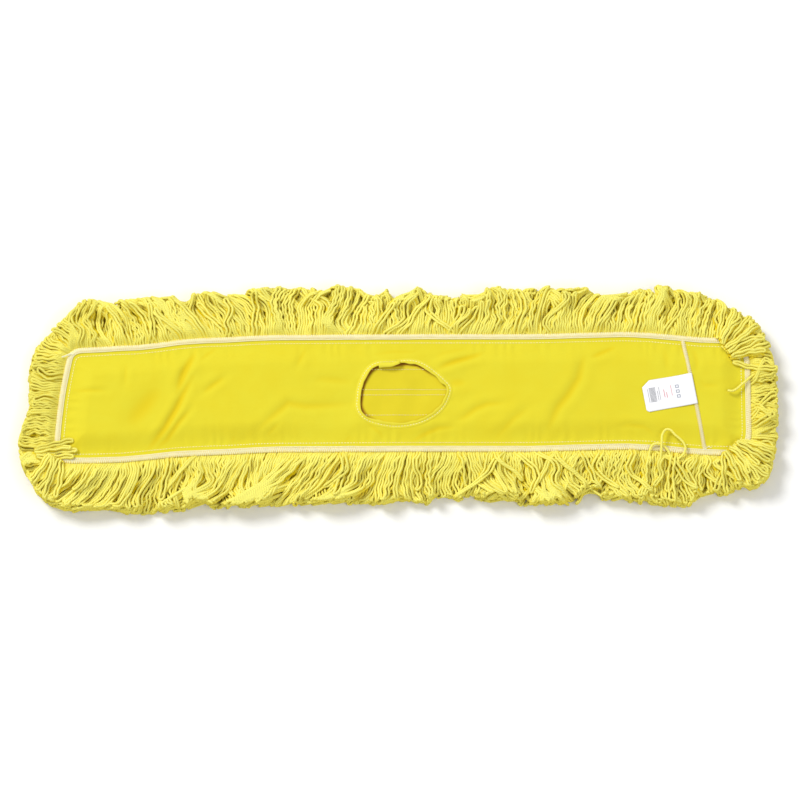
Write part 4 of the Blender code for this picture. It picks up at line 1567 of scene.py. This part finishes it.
class MOP_OT_label(bpy.types.Operator):
    """Make the satin care label, held in the panel seam by one end"""

    bl_idname = "mop.label"
    bl_label = "Care label"

    def execute(self, context):
        joint = frame["record"]["behaviour"]["joints"][0]
        hinge = np.array(joint["pos_m"][:2], float)
        hinge_height = float(joint["pos_m"][2])
        axis = np.array(joint["axis"][:2], float)
        axis /= np.linalg.norm(axis)
        away = np.array([-axis[1], axis[0]])
        points = node_points("care_label")[:, :2] - hinge
        away *= np.sign((points @ away).mean())
        low, high = (points @ axis).min(), (points @ axis).max()
        length = (points @ away).max()
        flat = self.flat_grid(low, high, length)
        place = hinge + flat[..., :1] * axis + flat[..., 1:] * away
        share = flat[..., 1] / length
        across = (flat[..., 0] - low) / (high - low)
        top = np.concatenate([place, self.heights(place, share, across, hinge_height)[..., None]], axis=-1)
        made = thickened(self.sheet(top, share, across), LABEL_THICKNESS)
        made.name = "satin_label"
        label = new_piece("satin_label", made, label_material(), "label", "care_label", body=None)
        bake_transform(label)
        return {"FINISHED"}

    def flat_grid(self, low, high, length):
        """The flat label's points, (across, along), narrower where its corners are cut."""
        rows = []
        for along in np.linspace(0.0004, length, LABEL_STEPS[0]):
            to_end = length - along
            last = high - max(BACK_CUT - to_end, 0) * BACK_CUT_SLOPE
            first = low + max(FRONT_CUT - to_end, 0)
            rows.append([(across, along) for across in np.linspace(first, last, LABEL_STEPS[1])])
        return np.array(rows)

    def heights(self, place, share, across, hinge_height):
        """The label comes out of the seam at the hinge's height and then lies on the cover."""
        around = ((0, 0), (0.002, 0), (-0.002, 0), (0, 0.002))
        under = np.max([cover_height(place + step) for step in around], axis=0)
        lying = under + 0.0007 + 0.0005 * np.sin(share * 7 + across * 2) + 0.0012 * share**3 * across**2
        down = eased(share / 0.25)
        return np.maximum(hinge_height * (1 - down) + lying * down, under + 0.0006)

    def sheet(self, top, share, across):
        """The label's open sheet, with a UV map that runs along it and across it."""
        mesh = bpy.data.meshes.new("label")
        number = np.arange(share.size).reshape(share.shape)
        corners = (number[:-1, :-1], number[1:, :-1], number[1:, 1:], number[:-1, 1:])
        faces = np.stack(corners, -1).reshape(-1, 4)
        mesh.from_pydata(top.reshape(-1, 3).tolist(), [], faces.tolist())
        uv = np.column_stack([share.reshape(-1), across.reshape(-1)])[faces.reshape(-1)]
        mesh.uv_layers.new(name="Label").data.foreach_set("uv", uv.astype(np.float32).ravel())
        return mesh


# Yarn.

END_SHADE = {"fringe_left": 0.8, "fringe_right": 0.3, "fringe_back_left": 0.4}  # the ends' yarn is darker
# The ends' yarn takes at least this share of the yarn's shade colour.
END_DEEP = 0.15
PILE_CELL = 0.001
PILE_MARGIN = 0.06
LEG_STEP = 0.002
ROOT_DEPTH = 0.008
GROUND_HEIGHT = 0.0205  # what the yarn's roots lie on, inside the pocket's edge
ROOT_HEIGHT = 0.0215  # where the top layer leaves the edge
LAYER_STEP = 0.0027  # how much lower each layer under it leaves the edge
LAYER_FALL = 0.048, 0.014  # the way out in which the lowest layer reaches the floor, and more for each other
STRAY_FALL = 0.070
HEIGHT_AT = (-ROOT_DEPTH, 0.0, 0.003, 0.010)  # ways out, for the most heights that follow
LAYER_MOST = (0.0222, 0.0245, 0.0330)  # after the root's own height
STRAY_MOST = (0.0222, 0.0228, 0.0262, 0.0360)
TUFT_MOST = 0.0385
TIP_HEIGHT = 0.2  # share of the pile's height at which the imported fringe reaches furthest
STRAYS = 190
TIP_POINTS = 5
PIECE_LOOPS = 330  # the most loops in one piece

# How the locks differ: standard deviations of a lock, and of a strand in its lock.
LOCK_SLOPE, LOCK_BEND, LOCK_CURL = 0.17, 0.28, 0.9
OWN_SLOPE, OWN_BEND, OWN_PHASE, OWN_CURL, OWN_REACH = 0.02, 0.02, 0.08, 0.15, 0.012


class Pile:
    """A map of how high the yarn already lies, on which each new strand is laid."""

    def __init__(self, radius):
        self.radius = radius
        low, high = CAD_BOX
        self.low = np.array(low[:2]) - PILE_MARGIN
        size = ((np.array(high[:2]) + PILE_MARGIN - self.low) / PILE_CELL).astype(int) + 1
        x, y = np.meshgrid(*(self.low[k] + PILE_CELL * np.arange(size[k]) for k in (0, 1)), indexing="ij")
        inside = out_of(edge_ring(), np.stack([x, y], axis=-1)) < 1
        self.top = np.where(inside, GROUND_HEIGHT, 0.0)
        reach = int(radius / PILE_CELL) + 1
        steps = np.arange(-reach, reach + 1)
        dx, dy = (a.ravel() for a in np.meshgrid(steps, steps))
        apart = np.hypot(dx, dy) * PILE_CELL
        self.stamp = [(a, b, math.sqrt(radius**2 - d**2)) for a, b, d in zip(dx, dy, apart) if d < radius]

    def cells(self, xy):
        size = self.top.shape
        i = np.clip(((xy[:, 0] - self.low[0]) / PILE_CELL).round().astype(int), 3, size[0] - 4)
        j = np.clip(((xy[:, 1] - self.low[1]) / PILE_CELL).round().astype(int), 3, size[1] - 4)
        return i, j

    def under(self, xy):
        i, j = self.cells(xy)
        spots = ((0, 0), (1, 0), (-1, 0), (0, 1), (0, -1))
        return np.max([self.top[i + a, j + b] for a, b in spots], axis=0)

    def lay(self, xy, hang, most, evened=2.0):
        """The strand's heights: on what lies there, no lower than it hangs, and no higher than its most."""
        height = np.maximum(self.under(xy) + self.radius, hang)
        height = np.minimum(height, most)
        height = np.maximum(blurred(height, evened, closed=False), self.radius * 1.02)
        i, j = self.cells(xy)
        for a, b, rise in self.stamp:
            np.maximum.at(self.top, (i + a, j + b), height + rise)
        return height


@functools.cache
def fringe_frame():
    """Places round the head: distances, the edge's points, the way out and the reach of the fringe there."""
    names = ["fringe_" + side for side in SIDES]
    level = TIP_HEIGHT * node_points(*names)[:, 2].max()
    tips = resampled(ring_at(level, *names).points, EDGE_STEP, closed=True)
    edge = edge_line()
    number, _ = nearest(edge, tips)
    turns = np.unwrap(number * TAU / len(edge))
    even = np.arange(len(tips)) * TAU / len(tips)
    turns = blurred(turns - even, 9) + even
    at = np.mod(turns / TAU * len(edge), len(edge))
    closed = np.vstack([edge, edge[:1]])
    start = np.column_stack([np.interp(at, np.arange(len(closed)), column) for column in closed.T])
    reach = np.linalg.norm(tips - start, axis=1)
    out = (tips - start) / reach[:, None]
    middle = (tips + start) / 2
    distance = way_along(middle)
    whole = distance[-1] + np.linalg.norm(middle[-1] - middle[0])
    shorter = np.zeros(len(tips))
    for notches, side in ((BACK_NOTCHES, 1), (FRONT_NOTCHES, -1)):
        for x, depth, width in notches:
            near = np.exp(-(((tips[:, 0] - x) / width) ** 4)) * (side * out[:, 1] > 0.5)
            shorter = np.maximum(shorter, depth * near)
    for x, y, depth, width in TRIMS:
        shorter += depth * np.exp(-(((tips - (x, y)) ** 2).sum(1) / width**2))
    lean = np.where(
        out[:, 1] > 0,
        np.interp(tips[:, 0], *zip(*BACK_LEAN)),
        -np.interp(tips[:, 0], *zip(*FRONT_LEAN)),
    )
    lean = blurred(lean * np.clip(abs(out[:, 1]) * 1.3, 0, 1), 12)
    return distance, whole, start, out, reach - shorter, lean


def fringe_at(places):
    """The fringe frame's values at some distances round the head."""
    distance, whole, start, out, reach, lean = fringe_frame()
    at = np.mod(places, whole)
    columns = np.column_stack([start, out, reach, lean])
    values = np.column_stack([np.interp(at, distance, column, period=whole) for column in columns.T])
    way = values[:, 2:4] / np.linalg.norm(values[:, 2:4], axis=1)[:, None]
    return values[:, :2], way, values[:, 4], values[:, 5]


TIP_GRID = 0.0025
TIP_MARGIN = 0.09
TIP_SOFTNESS = 0.007
CURL_FROM = 0.035
CURL_MOST = 0.030


@functools.cache
def tip_field():
    """A grid of how far each place lies beyond the fringe's outline, and its slopes along x and y."""
    _, _, start, out, reach, _ = fringe_frame()
    line = blurred(resampled(start + out * reach[:, None], TIP_GRID, closed=True), 2)
    low = line.min(0) - TIP_MARGIN
    counts = ((line.max(0) + TIP_MARGIN - low) / TIP_GRID).astype(int) + 1
    x, y = np.meshgrid(*(low[k] + TIP_GRID * np.arange(counts[k]) for k in (0, 1)), indexing="ij")
    xy = np.column_stack([x.ravel(), y.ravel()])
    number, apart = nearest(line, xy)
    side = ((xy - line[number]) * normals_of(line)[number]).sum(1)
    beyond = (np.sign(side) * apart).reshape(x.shape)
    return low, beyond, np.gradient(beyond, TIP_GRID, axis=0), np.gradient(beyond, TIP_GRID, axis=1)


def held_in(xy, margin):
    """Moves points that pass the fringe's outline back to just inside it."""
    low, beyond, slope_x, slope_y = tip_field()
    far = sampled(beyond, low, TIP_GRID, xy) + margin + TIP_SOFTNESS
    back = np.maximum(far - TIP_SOFTNESS * np.tanh(np.maximum(far, 0) / TIP_SOFTNESS), 0)
    slope = np.column_stack([sampled(slope, low, TIP_GRID, xy) for slope in (slope_x, slope_y)])
    slope /= np.maximum(np.linalg.norm(slope, axis=1), 0.3)[:, None]
    return xy - slope * back[:, None]


def drift(lock, far):
    """How far a lock's strands have gone sideways at these distances out; at the tips they curl."""
    slope, bend, length, phase, curl = lock
    wave = np.cos(phase) - np.cos(far * TAU / length + phase)
    away = np.maximum(far, 0)
    turned = CURL_MOST * np.tanh(curl * np.maximum(far - CURL_FROM, 0) ** 2 / CURL_FROM / CURL_MOST)
    return slope * away + bend * length / TAU * wave * eased(far / 0.012) + turned


def loop_line(leg_a, leg_b, roundness):
    """Two legs joined by a rounded tip."""
    end_a, end_b = leg_a[-1], leg_b[-1]
    way = leg_a[-1] - leg_a[-3] + leg_b[-1] - leg_b[-3]
    way /= np.linalg.norm(way) + 1e-9
    middle, half = (end_a + end_b) / 2, (end_a - end_b) / 2
    bulge = max(np.linalg.norm(half), 0.0017) * roundness
    turns = np.linspace(0, math.pi, TIP_POINTS + 2)[1:-1]
    tip = [middle + half * math.cos(a) + way * bulge * math.sin(a) for a in turns]
    return np.vstack([leg_a, tip, leg_b[::-1]])


def fringe_loop(place, pitch, lock, rng, factor, crimp):
    """The line of one loop of the fringe in plan, and each point's distance out from the edge."""
    spread = rng.uniform(0.85, 1.15) * pitch
    base, way, reach, lean = fringe_at(np.array([place - pitch / 2, place + pitch / 2]))
    legs, fars = [], []
    for k, side in ((0, -1.0), (1, 1.0)):
        far = np.arange(-ROOT_DEPTH, max(reach[k] * factor + rng.normal(0, 0.0008), 0.02), LEG_STEP)
        across = np.array([way[k, 1], -way[k, 0]])
        amount, length, phase = crimp
        shake = amount * np.sin(far * TAU / length + phase + 0.35 * side) * eased(far / 0.006)
        opened = side * (spread - pitch) / 2 * eased(far / 0.05)
        aside = drift(lock, far) + lean[k] * np.maximum(far, 0) * (0.6 + 0.4 * far / 0.07)
        aside = aside + shake - opened * 0.6
        legs.append(base[k] + way[k] * far[:, None] + across * aside[:, None])
        fars.append(far)
    margin = context_sizes().yarn_diameter / 2 + abs(rng.normal(0, 0.0035))
    line = held_in(loop_line(legs[0], legs[1], rng.uniform(0.7, 1.5)), margin)
    far = np.concatenate([fars[0], np.full(TIP_POINTS, fars[0][-1]), fars[1][::-1]])
    return line, far


def thinned(line, values, every, tip_from, tip_to):
    """Leaves out points along the legs, and keeps those of the tip."""
    keep = np.zeros(len(line), bool)
    keep[:tip_from:every] = True
    keep[tip_from - 1 : tip_to + 1] = True
    keep[len(line) - 1 : tip_to : -every] = True
    return line[keep], values[keep]


class MOP_OT_fringe(bpy.types.Operator):
    """Lay the looped yarn of the fringe, loop by loop, round the pocket's edge"""

    bl_idname = "mop.fringe"
    bl_label = "Yarn fringe"

    def execute(self, context):
        sizes = context.scene.mop_sizes
        rng = np.random.default_rng(5)
        radius = sizes.yarn_diameter / 2 * sizes.yarn_fluff
        whole = fringe_frame()[1]
        pile = Pile(radius)
        loops = []
        layers = sizes.fringe_layers
        for layer in range(layers):
            root = ROOT_HEIGHT - LAYER_STEP * (layers - 1 - layer)
            fall = LAYER_FALL[0] + LAYER_FALL[1] * layer
            top = layer == layers - 1
            self.lay(pile, self.layer(top, whole, sizes, rng), root, fall, (root, *LAYER_MOST), layer, loops)
        self.lay(pile, self.strays(whole, sizes, rng), ROOT_HEIGHT, STRAY_FALL, STRAY_MOST, layers, loops)
        self.lay_tufts(pile, sizes, rng, layers, loops)
        self.make_pieces(loops, pile, rng, layers)
        return {"FINISHED"}

    def lay(self, pile, lines, root, fall, most, layer, loops):
        """Lays lines on the pile, which fall from the root's height to the floor on their way out."""
        for line, far in lines:
            hang = root * (1 - eased(far / fall)) + pile.radius
            loops.append((line, far, pile.lay(line, hang, np.interp(far, HEIGHT_AT, most)), layer))

    def layer(self, top, whole, sizes, rng):
        """One layer's loops, lock by lock in a mixed order."""
        bounds = [0.0]
        while bounds[-1] < whole:
            bounds.append(bounds[-1] + sizes.lock_width * rng.uniform(0.5, 1.7))
        bounds[-1] = whole
        order = rng.permutation(len(bounds) - 1)
        for k in order:
            slope, bend = rng.normal(0, LOCK_SLOPE), rng.normal(0, LOCK_BEND)
            length, phase = rng.uniform(0.035, 0.080), rng.uniform(0, TAU)
            curl = rng.normal(0, LOCK_CURL)
            factor = rng.uniform(0.84, 1.00) if top else rng.uniform(0.94, 1.05)
            crimp_length, crimp_phase = rng.uniform(0.011, 0.020), rng.uniform(0, TAU)
            places = np.arange(bounds[k] + sizes.yarn_pitch, bounds[k + 1], 2 * sizes.yarn_pitch)
            if k % 2:
                places = places[::-1]
            for place in places:
                crimp_phase += rng.normal(0, 0.5)
                crimp = (abs(rng.normal(0.0009, 0.0004)), crimp_length * rng.uniform(0.85, 1.15), crimp_phase)
                own = (
                    slope + rng.normal(0, OWN_SLOPE),
                    bend + rng.normal(0, OWN_BEND),
                    length,
                    phase + rng.normal(0, OWN_PHASE),
                    curl + rng.normal(0, OWN_CURL),
                )
                reach = factor + rng.normal(0, OWN_REACH)
                yield fringe_loop(place + rng.normal(0, 0.0003), sizes.yarn_pitch, own, rng, reach, crimp)

    def strays(self, whole, sizes, rng):
        """Single loops that lie across the others."""
        for place in rng.uniform(0, whole, STRAYS):
            x, y = fringe_at(np.array([place]))[0][0]
            tangled = (x > 0.10 and y < 0) or x > 0.44
            if rng.uniform() > (0.75 if tangled else 0.30):
                continue
            wild = 2.0 if tangled else 1.0
            slope, bend = rng.normal(0, 0.35) * wild, rng.normal(0, 0.55) * wild
            lock = (slope, bend, rng.uniform(0.03, 0.07), rng.uniform(0, TAU), 0.0)
            crimp = (0.0006, rng.uniform(0.012, 0.02), rng.uniform(0, TAU))
            pitch = sizes.yarn_pitch * rng.uniform(1.0, 2.2)
            yield fringe_loop(place, pitch, lock, rng, rng.uniform(0.6, 0.98), crimp)

    def lay_tufts(self, pile, sizes, rng, layer, loops):
        """Lays the loops that have flopped back over the serging at the corners."""
        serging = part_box("serging_back")[1][2] + 0.0008
        for first, last, first_angle, last_angle, count, length in TUFTS:
            for k in rng.permutation(count):
                share = (k + rng.normal(0, 0.08)) / (count - 1)
                turn = math.radians(first_angle + (last_angle - first_angle) * share + rng.normal(0, 2.5))
                way = np.array([math.cos(turn), math.sin(turn)])
                across = np.array([-way[1], way[0]])
                root = np.array(first) * (1 - share) + np.array(last) * share + rng.normal(0, 0.0006, 2)
                reach = length * rng.uniform(0.85, 1.08)
                far = np.arange(-0.002, reach, LEG_STEP)
                wave = rng.normal(0, 0.003) * np.sin(far / reach * math.pi)
                wave += 0.0007 * np.sin(far * TAU / 0.018 + rng.uniform(0, TAU))
                apart = sizes.yarn_pitch * rng.uniform(0.5, 0.7) * eased((far + 0.006) / 0.010)
                straight = root + way * far[:, None]
                legs = [straight + across * (wave + side * apart)[:, None] for side in (-1, 1)]
                line = held_in(loop_line(legs[0], legs[1], 1.1), pile.radius)
                out = np.concatenate([far, np.full(TIP_POINTS, far[-1]), far[::-1]])
                over = np.maximum(serging, cover_height(line)) + pile.radius
                floor = np.where(out_of(edge_ring(), line) < 1.0, over, 0.0)
                hang = np.maximum(floor, 0.016 * (1 - eased(out / STRAY_FALL)) + pile.radius)
                loops.append((line, out, pile.lay(line, hang, TUFT_MOST, 2.5), layer))

    def make_pieces(self, loops, pile, rng, layers):
        """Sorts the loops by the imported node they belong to, and makes strands of them."""
        names = ["fringe_" + side for side in SIDES]
        tips = np.array([line[len(line) // 2] * 0.5 + line[0] * 0.5 for line, _, _, _ in loops])
        owner = owners(tips, names)
        radius = pile.radius
        for number, name in enumerate(names):
            mine = [i for i in range(len(loops)) if owner[i] == number]
            mine.sort(key=lambda i: tips[i, 0] if "back" in name or "front" in name else tips[i, 1])
            parts = max(1, math.ceil(len(mine) / PIECE_LOOPS))
            for part in range(parts):
                chosen = mine[part * len(mine) // parts : (part + 1) * len(mine) // parts]
                lines, tones, deeps = [], [], []
                for i in chosen:
                    line, far, height, layer = loops[i]
                    # Painted shade: how far each point lies under the pile's top, less towards the tips, is
                    # its share of the yarn's shade colour.
                    buried = np.clip((pile.under(line) - height - radius) / 0.005, 0, 1)
                    buried *= 1 - 0.85 * eased((far / far.max() - 0.70) / 0.25)
                    buried = np.maximum(buried, END_DEEP if name in END_SHADE else 0.0)
                    points = np.column_stack([line, height])
                    middle = len(line) // 2
                    every = 2 if layer >= layers - 2 else 4
                    points, buried = thinned(points, buried, every, middle - 2, middle + 2)
                    tone = np.clip(rng.uniform(0.1, 0.9) + 0.12 * np.sin(np.arange(len(points)) * 0.5), 0, 1)
                    tone -= END_SHADE.get(name, 0.0)
                    lines.append(points)
                    tones.append(tone)
                    deeps.append(buried)
                label = f"{name}_yarn" + (f"_{part + 1}" if parts > 1 else "")
                mesh = strands(label, lines, radius, 6, yarn_material(), tones, deeps)
                new_piece(label, mesh, yarn_material(), "yarn", name)


class MOP_OT_sole(bpy.types.Operator):
    """Make the rows of looped yarn under the head, which is the side that sweeps"""

    bl_idname = "mop.sole"
    bl_label = "Yarn sole"

    def execute(self, context):
        sizes = context.scene.mop_sizes
        rng = np.random.default_rng(7)
        radius = sizes.yarn_diameter / 2
        for row in range(1, 6):
            name = f"sole_row_{row}"
            low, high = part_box(name)
            middles = middles_of(name, 0.03)
            lines, tones = [], []
            for side in (-1, 1):
                place = low[0] + 0.006
                while place < high[0] - 0.010:
                    place += 2 * sizes.sole_pitch * rng.uniform(0.9, 1.1)
                    centre = np.interp(place, middles[:, 0], middles[:, 1])
                    lines.append(self.loop(place, centre, side, high[2], radius, sizes.sole_pitch, rng))
                    tones.append(rng.uniform(0.1, 0.9))
            # Every sole strand takes 0.35 of the yarn's painted shade colour.
            mesh = strands(name + "_yarn", lines, radius, 5, yarn_material(), tones, [0.35] * len(lines))
            new_piece(name + "_yarn", mesh, yarn_material(), "yarn", name)
        return {"FINISHED"}

    def loop(self, place, centre, side, top, radius, pitch, rng):
        """A loop that hangs from the backing, turns over on the floor and comes back."""
        reach = rng.uniform(0.022, 0.034)
        lift = rng.choice((0.0, 0.0030, 0.0058))
        lean = rng.normal(0, 0.25)
        legs = []
        for s in (-1, 1):
            t = np.linspace(0, 1, 9)
            y = centre + side * (0.003 + 0.006 * t + reach * eased((t - 0.25) / 0.75) * 0.9)
            x = place + s * pitch * (0.5 + 0.25 * t) + lean * reach * t + 0.0012 * np.sin(t * 9 + place * 300)
            z = top - radius - 0.0004 - (top - 2.1 * radius - lift) * eased(t / 0.55)
            legs.append(np.column_stack([x, y, np.maximum(z, radius * 1.03 + lift * (1 - t * 0.4))]))
        line = loop_line(legs[0], legs[1], 1.0)
        line[:, 2] = np.clip(line[:, 2], radius * 1.02, top - radius)
        return line


ROUTE_STEPS = 8  # steps between two points of a stray yarn's route


def through(points, t):
    """A smooth curve's point: 0 is its first point, 1 its second, and so on."""
    i = min(max(int(t), 0), len(points) - 2)
    t -= i
    before, a, b, after = (Vector(points[min(max(i + k, 0), len(points) - 1)]) for k in (-1, 0, 1, 2))
    rise_a, rise_b = (b - before) / 2, (after - a) / 2
    return (
        a * (1 - 3 * t**2 + 2 * t**3)
        + rise_a * (t - 2 * t**2 + t**3)
        + b * (3 * t**2 - 2 * t**3)
        + rise_b * (t**3 - t**2)
    )


class MOP_OT_stray_yarn(bpy.types.Operator):
    """Make the yarn that has come loose and lies over the cover"""

    bl_idname = "mop.stray_yarn"
    bl_label = "Stray yarn"

    def execute(self, context):
        sizes = context.scene.mop_sizes
        strays = (
            ("stray_loop", STRAY_LOOP, "object"),
            ("stray_loop_small", SMALL_LOOP, "object"),
            ("stray_tail", STRAY_TAIL, "bare"),
        )
        for name, route, far_end in strays:
            steps = ROUTE_STEPS * (len(route) - 1)
            line = np.array([through(route, i / ROUTE_STEPS)[:] for i in range(steps + 1)])
            if far_end == "bare":
                line = line[::-1]
            radius = sizes.yarn_diameter / 2
            mesh = strands(name + "_yarn", [line], radius, 8, yarn_material(), [0.85])
            piece = new_piece(name + "_yarn", mesh, yarn_material(), "yarn", name)
            length = float(way_along(line)[-1])
            tuple(line[0])
            [tuple(p) for p in line]
        return {"FINISHED"}


# The stage.

CAMERA_ELEVATION = math.radians(76.0)
CAMERA_TARGET = (0.00135, -0.0019, 0.022)
FRAME_WIDTH = 1.0784
LENS = 200.0
SENSOR = 36.0
FLOOR_SIZE = 8.0
WORLD_STRENGTH = 0.56
LIGHTS = (("Key", (-5.4, 4.7, 8.0), 4.2, 765.0), ("Fill", (2.6, -2.0, 4.8), 3.0, 56.0))


class MOP_OT_stage(bpy.types.Operator):
    """Make the floor, the lights and the camera"""

    bl_idname = "mop.stage"
    bl_label = "Stage"

    def execute(self, context):
        scene = context.scene
        scene.view_settings.view_transform = "Standard"
        material, tree, shader = new_material("Studio floor", 0.9, specular=0.1)
        shade = grouped(tree, patch_group(), Map=object_map(tree), Size=0.8)
        tone = math_node(tree, "MULTIPLY_ADD", shade, 0.01, 0.99)
        wire(tree, toned(tree, tuple(scene.mop_colours.floor), tone), shader.inputs["Base Color"])
        mesh = bpy.data.meshes.new("floor")
        corners = [(x * FLOOR_SIZE, y * FLOOR_SIZE, 0) for x, y in ((-1, -1), (1, -1), (1, 1), (-1, 1))]
        mesh.from_pydata(corners, [], [(0, 1, 2, 3)])
        mesh.materials.append(material)
        floor = bpy.data.objects.new("floor", mesh)
        scene.collection.objects.link(floor)

        world = bpy.data.worlds.new("Studio")
        world.use_nodes = True
        background = world.node_tree.nodes["Background"].inputs
        background["Color"].default_value = (1.0, 1.0, 1.0, 1.0)
        background["Strength"].default_value = WORLD_STRENGTH
        scene.world = world
        for light in LIGHTS:
            self.light(*light)

        camera = bpy.data.objects.new("Camera", bpy.data.cameras.new("Camera"))
        camera.data.lens = LENS
        camera.data.sensor_width = SENSOR
        camera.data.clip_end = 50.0
        away = FRAME_WIDTH * LENS / SENSOR
        target = Vector(CAMERA_TARGET)
        direction = Vector((0.0, -math.cos(CAMERA_ELEVATION), math.sin(CAMERA_ELEVATION)))
        camera.location = target + direction * away
        camera.rotation_euler = direction.to_track_quat("Z", "Y").to_euler()
        scene.collection.objects.link(camera)
        scene.camera = camera
        return {"FINISHED"}

    def light(self, name, place, size, power):
        lamp = bpy.data.lights.new(name, "AREA")
        lamp.shape = "DISK"
        lamp.size = size
        lamp.energy = power
        made = bpy.data.objects.new(name, lamp)
        made.location = place
        made.rotation_euler = Vector(place).to_track_quat("Z", "Y").to_euler()
        bpy.context.scene.collection.objects.link(made)


OPERATORS = (
    MOP_OT_stage,
    MOP_OT_stray_yarn,
    MOP_OT_cloth,
    MOP_OT_overlock,
    MOP_OT_lockstitch,
    MOP_OT_mouth,
    MOP_OT_label,
    MOP_OT_fringe,
    MOP_OT_sole,
)


class MOP_PT_panel(bpy.types.Panel):
    """The mop head's pieces, sizes and colours"""

    bl_idname = "MOP_PT_panel"
    bl_label = "Mop Head"
    bl_space_type = "VIEW_3D"
    bl_region_type = "UI"
    bl_category = "Mop Head"

    def draw(self, context):
        for operator in OPERATORS:
            self.layout.operator(operator.bl_idname)
        for group in (context.scene.mop_sizes, context.scene.mop_colours):
            box = self.layout.box()
            for name in group.bl_rna.properties.keys():
                if name not in ("rna_type", "name"):
                    box.prop(group, name)


CLASSES = (MopSizes, MopColours, *OPERATORS, MOP_PT_panel)


def register():
    for cls in CLASSES:
        bpy.utils.register_class(cls)
    bpy.types.Scene.mop_sizes = PointerProperty(type=MopSizes)
    bpy.types.Scene.mop_colours = PointerProperty(type=MopColours)


def unregister():
    del bpy.types.Scene.mop_sizes
    del bpy.types.Scene.mop_colours
    for cls in reversed(CLASSES):
        bpy.utils.unregister_class(cls)


def main():
    register()
    bpy.ops.mop.stage()
    bpy.ops.mop.stray_yarn()
    bpy.ops.mop.cloth()
    bpy.ops.mop.overlock()
    bpy.ops.mop.lockstitch()
    bpy.ops.mop.mouth()
    bpy.ops.mop.label()
    bpy.ops.mop.fringe()
    bpy.ops.mop.sole()


if __name__ == "__main__":
    main()
